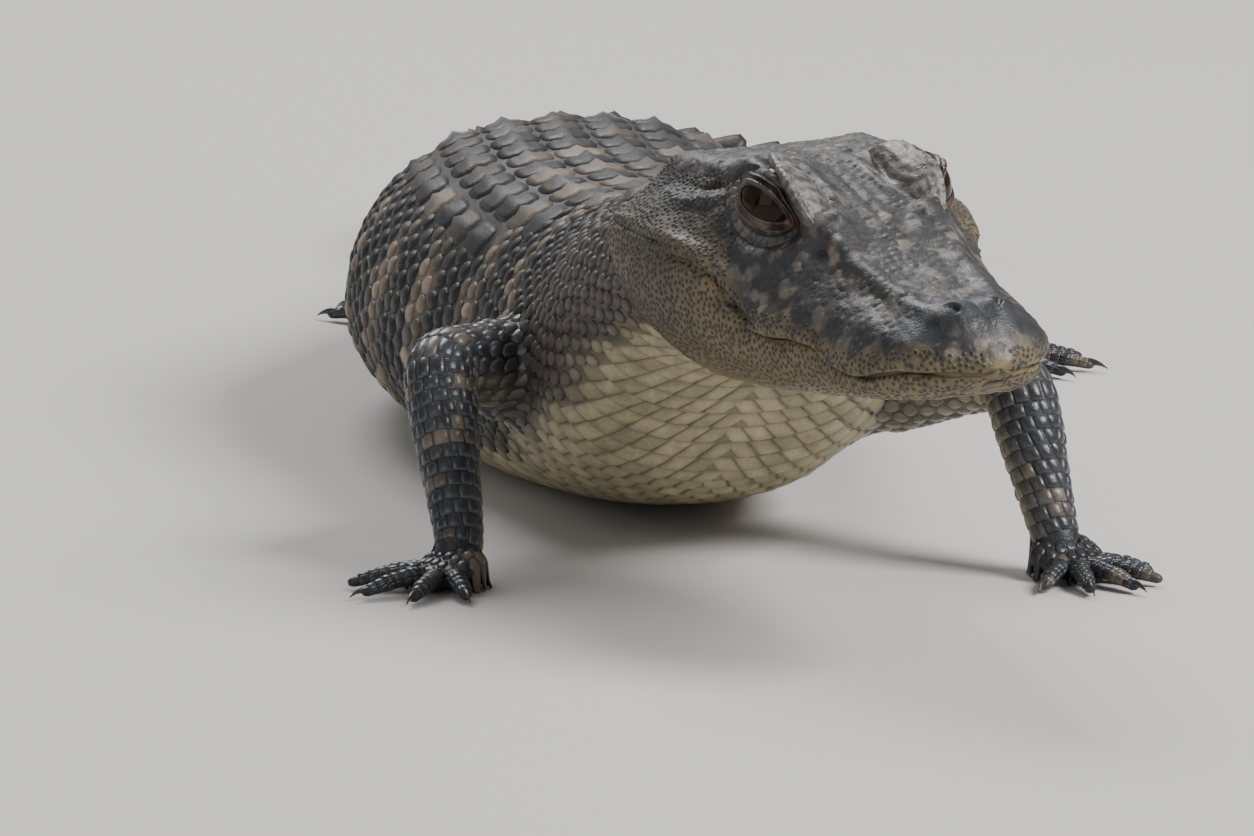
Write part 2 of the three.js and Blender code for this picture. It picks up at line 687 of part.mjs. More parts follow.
const bodySpace = toSolid(bodyLength(SPINE_START + 8, TAIL_ENDS[0], 8, CUT));
for (const [legName, leg] of Object.entries(LEGS)) {
  const root = new THREE.Vector3(...leg.root);
  const elbow = new THREE.Vector3(...leg.elbow);
  const wrist = new THREE.Vector3(...leg.wrist);
  const sole = new THREE.Vector3(...leg.sole);
  const upper = rod(root, elbow, leg.radii.slice(0, 3), 3, LIMB_SIDES);
  const lower = rod(elbow, wrist, leg.radii.slice(2), 3, LIMB_SIDES);
  const joint = toSolid(blob(leg.elbow, Array(3).fill(leg.radii[2] * 1.02), [0, 0, 0], LIMB_SIDES));
  const heel = restingBlob([wrist.x, wrist.y, wrist.z - 2], [leg.radii[4] * 1.1, leg.radii[4], 8], [0, 0, 0]);
  const upperWay = elbow.clone().sub(root).normalize();
  const lowerWay = wrist.clone().sub(elbow).normalize();
  const elbowPlate = parting(elbow, upperWay.clone().add(lowerWay).normalize(), leg.radii[2] * 5);
  const wristPlate = parting(wrist.clone().addScaledVector(lowerWay, -4), lowerWay, leg.radii[4] * 3.4);
  const pieces = upper.add(joint).add(lower).add(heel).add(soleSolid(leg))
    .subtract(bodySpace).subtract(elbowPlate).subtract(wristPlate).decompose();
  const places = [root.clone().lerp(elbow, 0.7), elbow.clone().lerp(wrist, 0.5), sole];
  leg.names.forEach((part, i) => {
    const kept = pieces.filter((piece) => piece.volume() > 100);
    addNode(`${legName}_${part}`, pieceNear(kept, places[i]), LIMB_COLOR);
  });
}

// The model stands with the middle of its outline over the origin
const outline = new THREE.Box3().setFromObject(model);
const middle = outline.getCenter(new THREE.Vector3());
model.position.set(-middle.x, -middle.y, -outline.min.z);

export default model;
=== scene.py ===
"""A young American alligator at rest: one skin, its coat of scutes and scales, its eyes and claws.

Shapes are worked out in millimetres in the animal's own frame (+X towards the head, +Y towards its
left, +Z up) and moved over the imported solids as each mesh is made.
"""
import json
import logging
import math
from contextlib import contextmanager
from dataclasses import dataclass, field
from enum import Enum
from functools import partial
from typing import Callable, Iterator, Sequence

import bmesh
import bpy
import numpy as np
from mathutils import Matrix, Vector
from mathutils.bvhtree import BVHTree
from mathutils.kdtree import KDTree

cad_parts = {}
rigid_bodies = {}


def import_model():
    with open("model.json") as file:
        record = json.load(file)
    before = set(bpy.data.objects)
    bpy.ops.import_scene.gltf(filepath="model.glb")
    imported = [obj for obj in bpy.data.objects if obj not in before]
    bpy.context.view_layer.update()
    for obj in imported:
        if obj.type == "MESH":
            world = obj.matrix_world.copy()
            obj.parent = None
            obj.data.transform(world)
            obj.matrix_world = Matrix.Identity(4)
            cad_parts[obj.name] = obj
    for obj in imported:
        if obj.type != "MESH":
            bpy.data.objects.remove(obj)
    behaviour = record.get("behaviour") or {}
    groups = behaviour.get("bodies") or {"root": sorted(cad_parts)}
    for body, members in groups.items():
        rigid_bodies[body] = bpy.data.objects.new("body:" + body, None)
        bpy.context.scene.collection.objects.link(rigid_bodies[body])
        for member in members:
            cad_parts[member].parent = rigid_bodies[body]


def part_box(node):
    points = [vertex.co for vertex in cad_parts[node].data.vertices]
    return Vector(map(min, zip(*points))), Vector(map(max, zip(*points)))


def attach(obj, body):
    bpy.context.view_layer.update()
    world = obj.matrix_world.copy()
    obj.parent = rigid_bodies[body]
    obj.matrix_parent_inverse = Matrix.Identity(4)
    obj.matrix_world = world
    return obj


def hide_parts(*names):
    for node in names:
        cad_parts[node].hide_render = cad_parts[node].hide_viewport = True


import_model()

LOG = logging.getLogger("alligator")
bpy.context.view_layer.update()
Array = np.ndarray
Curve = Callable[[Array], Array]
Triple = tuple[float, float, float]
Solid = tuple[Array, list]
Piece = bpy.types.Object
BAKE_PATCH = 0.003


# Numbers and curves

def profile(pairs: Sequence[tuple[float, float]]) -> Curve:
    """Smooth curve through a few (place, value) pairs that never overshoots them.

    Args:
        pairs: places in rising order, with the value at each.

    Returns:
        A function of an array of places.
    """
    places = np.array([p for p, _ in pairs], float)
    values = np.array([v for _, v in pairs], float)
    rises = np.diff(values) / np.diff(places)
    slopes = np.empty(len(pairs))
    slopes[0], slopes[-1] = rises[0], rises[-1]
    for i in range(1, len(pairs) - 1):
        product = rises[i - 1] * rises[i]
        slopes[i] = 0.0 if product <= 0 else 2 * product / (rises[i - 1] + rises[i])

    def curve(place: Array) -> Array:
        """Value of the curve at each place.

        Args:
            place: the places.

        Returns:
            A value for each.
        """
        place = np.clip(np.asarray(place, float), places[0], places[-1])
        i = np.clip(np.searchsorted(places, place, side="right") - 1, 0, len(places) - 2)
        span = places[i + 1] - places[i]
        t = (place - places[i]) / span
        start = (1 + 2 * t) * (1 - t) ** 2
        return (values[i] * start + values[i + 1] * (1 - start)
                + slopes[i] * t * (1 - t) ** 2 * span - slopes[i + 1] * t * t * (1 - t) * span)

    return curve


def signed_power(side: Array, power: Array) -> Array:
    """Array with the signs of `side` and its sizes raised to `power`."""
    return np.sign(side) * np.abs(side) ** power


def smoothstep(low: float, high: float, value: Array) -> Array:
    """0 below `low`, 1 above `high` and smooth between them."""
    t = np.clip((np.asarray(value, float) - low) / (high - low), 0, 1)
    return t * t * (3 - 2 * t)


def unit(vectors: Array) -> Array:
    """Vectors scaled to length one."""
    return vectors / np.maximum(np.linalg.norm(vectors, axis=-1, keepdims=True), 1e-9)


def run_along(points: Array) -> Array:
    """Distance run along a line of points, from 0 at the first."""
    return np.concatenate([[0], np.cumsum(np.linalg.norm(np.diff(points, axis=0), axis=1))])


def ripple(points: Array, size: float, seed: int) -> Array:
    """Smooth repeatable noise between about -1 and 1, with features of about `size`.

    Args:
        points: places to read it at, shape (n, 3), in millimetres.
        size: distance over which it changes.
        seed: picks one of the patterns.

    Returns:
        One number for each point.
    """
    draws = np.random.default_rng(seed)
    total = np.zeros(len(points))
    for _ in range(9):
        way = draws.normal(size=3)
        way *= (2 * math.pi / size) * draws.uniform(0.55, 1.25) / np.linalg.norm(way)
        total += np.sin(points @ way + draws.uniform(0, 2 * math.pi))
    return total / 3.2


# Body: neck, trunk and tail along the spine

SPINE_START, SPINE_END, MID_TRUNK = -30.0, 735.0, 196.0
MID_TRUNK_AT = (-0.5, 4.5)
WAIST_SHARE = 0.42
COAT_DEPTH = 0.8
facing = profile([
    (-30, 12), (0, 12), (40, 8), (100, 7.5), (196, 1), (290, -9), (345, -10), (385, 19),
    (430, 6), (475, -53), (520, -123), (570, -152), (630, -188), (735, -234)])
half_width = profile([
    (-30, 24), (0, 33), (20, 37), (45, 41), (75, 42), (110, 45), (150, 52), (196, 56), (235, 53),
    (270, 42), (310, 31), (345, 26), (400, 20), (460, 14.5), (520, 10.5), (600, 6.5), (680, 3.6),
    (735, 1.3)])
top_height = profile([
    (-30, 88), (0, 92), (20, 90), (45, 84), (80, 77), (115, 73), (160, 71), (210, 70), (260, 63),
    (300, 57), (345, 47), (400, 36), (460, 28), (520, 20.5), (600, 15), (680, 9), (735, 3.5)])
bottom_height = profile([
    (-30, 58), (0, 49), (20, 34), (40, 17), (60, 8), (85, 3), (110, 0), (135, -2), (250, -2),
    (300, -1.5), (345, -2.5), (460, -2.5), (600, -1.5), (735, -0.6)])
side_roundness = profile([(-30, 0.95), (60, 0.9), (110, 0.8), (250, 0.8), (345, 0.9), (735, 1)])
top_roundness = profile([(-30, 0.8), (80, 0.9), (200, 1), (345, 1), (735, 1)])


class Surface:
    """A surface reached by two measures in millimetres: a along the part, b round it."""

    outward = 1.0

    def points(self, a: Array, b: Array) -> Array:
        """Points on the surface, shape (n, 3)."""
        raise NotImplementedError

    def patch(self, a: Array, b: Array) -> Array:
        """Places on the surface's unwrap, between 0 and 1, shape (n, 2)."""
        raise NotImplementedError

    def normals(self, a: Array, b: Array) -> Array:
        """Outward normals, from places half a millimetre to each side.

        Args:
            a: places along the part.
            b: arcs round it.

        Returns:
            Unit normals, shape (n, 3).
        """
        along = self.points(a + 0.5, b) - self.points(a - 0.5, b)
        round_it = self.points(a, b + 0.5) - self.points(a, b - 0.5)
        return unit(np.cross(along, round_it)) * self.outward


class BodySurface(Surface):
    """Skin of neck, trunk and tail: a is the place on the spine, b the arc from the middle of the back."""

    outward = -1.0
    ROWS, COLUMNS = 512, 361

    def __init__(self, grow: float) -> None:
        """Walks the spine and tabulates the turn for each arc.

        Args:
            grow: how far outside the solids' surface this one lies; negative is inside.
        """
        self.grow = grow
        places = np.arange(SPINE_START, SPINE_END + 1)
        angles = np.radians(facing(places[:-1] + 0.5))
        x = np.concatenate([[0], -np.cumsum(np.cos(angles))])
        y = np.concatenate([[0], -np.cumsum(np.sin(angles))])
        middle = int(MID_TRUNK - SPINE_START)
        self.places = places
        self.x, self.y = x - x[middle] + MID_TRUNK_AT[0], y - y[middle] + MID_TRUNK_AT[1]
        self.table_places = np.linspace(SPINE_START, SPINE_END, self.ROWS)
        turns = np.linspace(0, math.pi, 721)
        rows = np.repeat(self.table_places, len(turns))
        ring = self.at_turn(rows, np.tile(math.pi / 2 - turns, self.ROWS)).reshape(self.ROWS, -1, 3)
        arcs = np.concatenate([np.zeros((self.ROWS, 1)),
                               np.cumsum(np.linalg.norm(np.diff(ring, axis=1), axis=2), axis=1)], axis=1)
        self.half_girth_table = arcs[:, -1]
        shares = np.linspace(0, 1, self.COLUMNS)
        self.turn_table = np.array([np.interp(shares * row[-1], row, turns) for row in arcs])

    def at_turn(self, place: Array, turn: Array) -> Array:
        """Points at a place and an angle round the body, 0 on the left and a quarter turn on top.

        Args:
            place: places on the spine.
            turn: angles in radians.

        Returns:
            The points, shape (n, 3).
        """
        angle = np.radians(facing(place))
        top, bottom = top_height(place), bottom_height(place)
        waist = bottom + (top - bottom) * WAIST_SHARE
        side = signed_power(np.cos(turn), side_roundness(place))
        rise = signed_power(np.sin(turn), top_roundness(place))
        across = np.maximum(half_width(place) + self.grow, 0.3) * side
        up = np.maximum(top - waist + self.grow, 0.2)
        down = np.maximum(waist - bottom + self.grow, 0.2)
        height = waist + np.where(rise > 0, up, down) * rise
        x = np.interp(place, self.places, self.x) - np.sin(angle) * across
        y = np.interp(place, self.places, self.y) + np.cos(angle) * across
        return np.stack([x, y, np.maximum(height, -min(self.grow, 0))], axis=-1)

    def half_girth(self, place: Array) -> Array:
        """Arc from the middle of the back to the middle of the belly."""
        return np.interp(place, self.table_places, self.half_girth_table)

    def turn(self, place: Array, arc: Array) -> Array:
        """Angle round the body at an arc from the middle of the back.

        Args:
            place: places on the spine.
            arc: arcs, past the belly if need be.

        Returns:
            Angles in radians.
        """
        along = (place - SPINE_START) / (SPINE_END - SPINE_START)
        row = np.clip(along * (self.ROWS - 1), 0, self.ROWS - 1.001)
        share = np.abs(arc) / self.half_girth(place)
        over = share > 1
        share = np.where(over, 2 - share, share)
        column = np.clip(share * (self.COLUMNS - 1), 0, self.COLUMNS - 1.001)
        i, j = row.astype(int), column.astype(int)
        s, t = row - i, column - j
        table = self.turn_table
        turned = ((table[i, j] * (1 - t) + table[i, j + 1] * t) * (1 - s)
                  + (table[i + 1, j] * (1 - t) + table[i + 1, j + 1] * t) * s)
        way = np.where(over, -1, 1) * np.sign(arc)
        return math.pi / 2 - way * turned

    def points(self, a: Array, b: Array) -> Array:
        """Points on the surface, shape (n, 3)."""
        return self.at_turn(a, self.turn(a, b))

    def patch(self, a: Array, b: Array) -> Array:
        """Places on the unwrap: along the spine and round the body."""
        u = (a - SPINE_START) / (SPINE_END - SPINE_START)
        return np.stack([0.01 + 0.98 * u, 0.01 + 0.98 * (0.5 + 0.5 * b / self.half_girth(a))], axis=-1)


# Head, in its own frame: x forward from the rear of the skull, z up from the level of the mouth

HEAD_REAR, HEAD_TIP = -8.0, 123.0
crown_height = profile([
    (-10, 22), (0, 29), (8, 31), (22, 32), (32, 31.3), (42, 29), (52, 27), (62, 24.3), (75, 20.3),
    (90, 17), (102, 15.5), (110, 15.5), (116, 13.5), (120, 10.5), (123, 7.5)])
edge_width = profile([
    (-10, 18), (0, 20.5), (15, 20.5), (28, 18.5), (36, 18.3), (46, 18.5), (55, 17), (64, 13.8), (80, 12),
    (100, 10), (110, 8.5), (116, 7), (120, 5), (123, 2.5)])
edge_height = profile([
    (-10, 18.5), (0, 28.6), (12, 30.6), (24, 32), (33, 34), (42, 33.4), (52, 30.6), (60, 26.6), (70, 21.4),
    (85, 17.5), (102, 15), (110, 14.5), (116, 12), (120, 9.5), (123, 6.5)])
cheek_width = profile([
    (-10, 31), (0, 34.5), (12, 34.5), (30, 31), (45, 27), (60, 24.5), (80, 21.5), (100, 18.5),
    (110, 16), (116, 12.5), (120, 9), (123, 4)])
cheek_height = profile([
    (-10, 15), (0, 18), (15, 19.5), (30, 19), (45, 15), (60, 12), (80, 9.5), (102, 8.5), (116, 8), (123, 6)])
lip_width = profile([
    (-10, 33), (0, 36), (12, 36.5), (37, 33), (50, 30), (60, 28), (69, 26), (84, 23.5), (93, 22),
    (103, 20), (110, 17.5), (116, 13.5), (120, 9.5), (123, 4.5)])
mouth_height = profile([
    (-10, 15), (28, 15), (37, 13.5), (43, 9), (50, 3.2), (60, 1), (70, 2), (78, 1.6), (86, -0.9),
    (94, -1.3), (104, 0.8), (111, 2.4), (123, 3)])
jaw_bottom = profile([
    (-10, 4), (0, -4.5), (5, -8), (12, -12), (21, -15.4), (30, -16.6), (44, -15.6), (68, -12.3), (84, -9.5),
    (102, -6.5), (112, -4), (118, -1.5), (121.5, 1.2)])
jaw_tuck = profile([(25, -1), (45, 0.8), (60, 1.5), (112, 1.5), (119, 0.9), (123, 0.5)])
lip_parting = profile([(44, 0.05), (56, 1), (114, 1), (119, 0.45), (123, 0.2)])


def catmull_rom(control: Array, shares: Array) -> Array:
    """Smooth curves through rows of control points.

    Args:
        control: shape (rows, points, 2) or (rows, points, 3).
        shares: places along each curve between 0 and 1, shape (n,).

    Returns:
        Points of shape (rows, n, 2) or (rows, n, 3).
    """
    count = control.shape[1]
    padded = np.concatenate([2 * control[:, :1] - control[:, 1:2], control,
                             2 * control[:, -1:] - control[:, -2:-1]], axis=1)
    place = np.clip(shares * (count - 1), 0, count - 1 - 1e-6)
    i = place.astype(int)
    t = (place - i)[None, :, None]
    p0, p1, p2, p3 = (padded[:, i + k] for k in range(4))
    return 0.5 * (2 * p1 + (p2 - p0) * t + (2 * p0 - 5 * p1 + 4 * p2 - p3) * t ** 2
                  + (3 * p1 - p0 - 3 * p2 + p3) * t ** 3)


def even_rows(curves: Array, count: int) -> Array:
    """Each row of points spread again at even distances, `count` of them.

    Args:
        curves: rows of points, shape (rows, n, 2).
        count: points wanted in each.

    Returns:
        Rows of shape (rows, count, 2).
    """
    steps = np.linalg.norm(np.diff(curves, axis=1), axis=2)
    arcs = np.concatenate([np.zeros((len(curves), 1)), np.cumsum(steps, axis=1)], axis=1)
    shares = np.linspace(0, 1, count)
    return np.stack([
        np.stack([np.interp(shares * arc[-1], arc, row[:, k]) for k in (0, 1)], axis=-1)
        for row, arc in zip(curves, arcs)])


@dataclass(frozen=True)
class Swelling:
    """A soft rise (or, with a negative height, a dip) of the head's surface, on both sides."""

    centre: Triple
    radii: Triple
    height: float

    def lift(self, points: Array) -> Array:
        """Distance to move each point along its normal; the points have their y made positive."""
        away = (points - np.array(self.centre)) / np.array(self.radii)
        return self.height * np.exp(-(away ** 2).sum(axis=1))


@dataclass(frozen=True)
class Fold:
    """A ridge or, with a negative height, a groove that follows a path over the head, on both sides."""

    path: tuple[Triple, ...]
    width: float
    height: float

    def lift(self, points: Array) -> Array:
        """Distance to move each point along its normal; the points have their y made positive.

        Args:
            points: places in the head's frame, shape (n, 3).

        Returns:
            A distance for each.
        """
        nearest = np.full(len(points), 1e9)
        strength = np.zeros(len(points))
        path = np.array(self.path)
        for i, (start, end) in enumerate(zip(path[:-1], path[1:])):
            way = end - start
            t = np.clip((points - start) @ way / (way @ way), 0, 1)
            away = np.linalg.norm(points - start - t[:, None] * way, axis=1)
            closer = away < nearest
            nearest = np.where(closer, away, nearest)
            share = (i + t) / (len(path) - 1)
            strength = np.where(closer, np.minimum(1, 4 * np.minimum(share, 1 - share) + 0.15), strength)
        return self.height * strength * np.exp(-(nearest / self.width) ** 2)


HEAD_FORMS = (
    # Skull table: a rounded lobe at each rear corner, the flat between them a little hollow
    Swelling((6, 21.5, 27), (9, 4.5, 5), 1.1),
    Swelling((14, 0, 32), (14, 8, 8), -0.7),
    Fold(((25, 20.5, 31.5), (26, 13, 33), (26.5, 6, 32.5)), 1.7, -0.8),
    # Ear: a slit below the table's edge, its flap below it
    Fold(((32, 21.8, 28.4), (26.5, 23, 27), (21, 24.9, 25.2)), 0.95, -2.4),
    Fold(((23, 24.6, 25.4), (14, 25.6, 24.2), (5, 26.5, 22.6)), 1.2, -1.2),
    Fold(((35, 23, 26), (27, 26, 23.8), (19, 28.4, 22), (9, 29.8, 20.6)), 1.7, 1.2),
    Fold(((34, 24.8, 23.4), (25, 28.2, 21), (16, 30.6, 19.2), (6, 31.8, 18)), 1.0, -0.9),
    Fold(((29, 29, 18.6), (19, 32.4, 17), (8, 34, 15.6)), 1.0, 0.5),
    # Brow ridges and the valley between them
    Fold(((31, 5.8, 32.8), (41, 5.8, 30.6), (50, 6.2, 28.4), (57, 7.2, 26.2)), 1.3, 1.1),
    Fold(((33, 8.8, 33.8), (43, 8.6, 31.6), (51, 8.9, 29.6), (58, 9.6, 26.8)), 1.1, -1.0),
    Fold(((36, 1.6, 30.6), (48, 1.4, 28), (60, 1.6, 25), (70, 1.6, 21.8)), 1.5, 0.5),
    # Knobs before the eye, the hollow beside them and the ridge that runs on along the snout
    Swelling((61.5, 10.2, 25), (2.5, 2.1, 2.6), 1.7),
    Swelling((68.6, 12.2, 20.9), (2.7, 2.2, 2.4), 1.4),
    Swelling((65.5, 15.6, 19.6), (3.0, 2.4, 2.8), -1.7),
    Swelling((66.5, 7.4, 22.6), (3.4, 2.4, 2.6), 0.7),
    Fold(((68, 12.6, 20), (78, 11.8, 18.6), (90, 10.6, 16.8), (103, 8.6, 15.4)), 2.2, 0.6),
    Fold(((64, 18.5, 14), (58, 22, 14.6), (50, 25, 15.4)), 1.8, -0.5),
    Fold(((40, 24.6, 20.6), (47, 23.4, 19.4), (53.5, 21, 20.4), (58.5, 17.4, 22.4), (62, 14.6, 23)),
         2.4, -1.7),
    # Cheek: the mouth's rear end runs on as a fold, with the bulge of the jaw muscle below it
    Fold(((61, 27.6, 1.6), (54.4, 29, 4), (47.1, 30.2, 7.3), (43.1, 31.3, 10.7), (35.6, 32.6, 12.7),
          (26.2, 34.8, 13.5), (13, 36.8, 13)), 0.8, -1.7),
    Fold(((58, 27, 5.4), (50, 28.6, 8.4), (45, 29.6, 12.2), (37, 31, 15), (27, 33.6, 15.8), (13, 35.8, 15)),
         1.6, 0.9),
    Fold(((50, 28.4, 5), (44, 31.4, 8), (36, 33.4, 10.4), (26, 35.6, 11.2)), 1.6, 0.5),
    Swelling((16, 36, 2), (17, 8, 10), 1.4),
    Fold(((0, 36.5, 7), (4, 35.5, 1), (9, 33, -6), (16, 28, -11.5), (25, 21, -15)), 1.5, 0.7),
    # Lips: fullness over the toothed stretches
    Swelling((66, 27, 4.4), (9, 5, 3.4), 0.8),
    Swelling((79, 24.6, 4.6), (4, 4, 3), -0.5),
    Swelling((94, 21.6, 2.4), (9, 5, 3.6), 0.9),
    Swelling((112, 15, 5.4), (6, 5, 3.4), 0.6),
    # Nostrils on their mound
    Swelling((112, 4.2, 14.4), (6.4, 5.0, 5), 1.7),
    Swelling((112, 0, 14.8), (6, 1.4, 4), -0.35),
    Fold(((110.4, 6.6, 14.4), (111.4, 5.2, 14.8), (112.8, 4.6, 14.8), (114.2, 5.1, 14.2)), 0.55, -1.9),
    Fold(((103, 8.5, 14.5), (105, 4.5, 15.2), (105.5, 0, 15.4)), 1.8, -0.35),
)


@dataclass(frozen=True)
class EyeSeat:
    """Where an eye sits in the head's frame, how it looks out, and the opening between its lids.

    The opening is set out on the plane square to the gaze, and places round it are counted in steps
    outside its edge.
    """

    centre: Triple = (43.4, 16.3, 25.7)
    radius: float = 7.8
    gaze: Triple = (0.55, 0.80, 0.22)
    middle: tuple[float, float] = (0.1, -0.5)
    spans: tuple[float, float] = (7.1, 3.5)
    step_across: float = 0.22
    step_above: float = 0.13
    step_below: float = 0.27
    behind: float = 2.0
    reach: float = 27.0

    def axes(self) -> Array:
        """Rows: across (towards the snout), up, and out along the gaze, for the left eye.

        Returns:
            The three rows, for the left eye.
        """
        out = unit(np.array(self.gaze))
        across = unit(np.cross(out, np.array([0.0, 0.0, 1.0])))
        tilt = math.radians(-25)
        up = np.cross(across, out)
        return np.stack([across * math.cos(tilt) + up * math.sin(tilt),
                         up * math.cos(tilt) - across * math.sin(tilt), out])

    def places(self, turn: Array, beyond: Array) -> Array:
        """Places on the plane square to the gaze, shape (n, 2).

        Args:
            turn: angle round the opening in radians, 0 towards the snout and a quarter turn up.
            beyond: steps outside the opening's edge.
        """
        sine = np.sin(turn)
        step = np.where(sine > 0, self.step_above, self.step_below)
        corner = sine * np.abs(sine) ** 0.15
        return np.stack([self.middle[0] + (self.spans[0] + self.step_across * beyond) * np.cos(turn),
                         self.middle[1] + (self.spans[1] + step * beyond) * corner], axis=-1)

    def cover(self, places: Array) -> Array:
        """Height along the gaze of a skin laid over the ball, far below outside it."""
        left = (self.radius + 0.4) ** 2 - (places ** 2).sum(axis=1)
        return np.where(left > 0, np.sqrt(np.maximum(left, 0)), -9.0)

    def beyond(self, points: Array) -> tuple[Array, Array]:
        """Steps outside the opening's edge, and places across, up and out, of points on the left side.

        Args:
            points: places in the head's frame, shape (n, 3).

        Returns:
            Steps outside the edge, and the places in the eye's own axes.
        """
        local = (points - np.array(self.centre)) @ self.axes().T
        across, up = local[:, 0] - self.middle[0], local[:, 1] - self.middle[1]
        step = np.where(up > 0, self.step_above, self.step_below)
        low, high = np.full(len(points), -12.9), np.full(len(points), 120.0)
        for _ in range(24):
            middle = (low + high) / 2
            inside = ((across / (self.spans[0] + self.step_across * middle)) ** 2
                      + (up / (self.spans[1] + step * middle)) ** 2 < 1)
            high = np.where(inside, middle, high)
            low = np.where(inside, low, middle)
        return (low + high) / 2, local

    def ceiling(self, beyond: Array, places: Array) -> Array:
        """Greatest height along the gaze of the skin round the eye.

        Args:
            beyond: steps outside the opening's edge.
            places: the same places on the plane square to the gaze.

        Returns:
            A height for each.
        """
        away = places - np.array(self.middle)
        turn = np.arctan2(away[:, 1] / self.spans[1], away[:, 0] / self.spans[0])
        rim = self.cover(self.places(turn, np.zeros(len(turn))))
        past = np.maximum(beyond, 0)
        return rim + 0.06 * past + 0.003 * past ** 2 + 0.04 * np.maximum(past - self.reach, 0) ** 2


EYE_SEAT = EyeSeat()


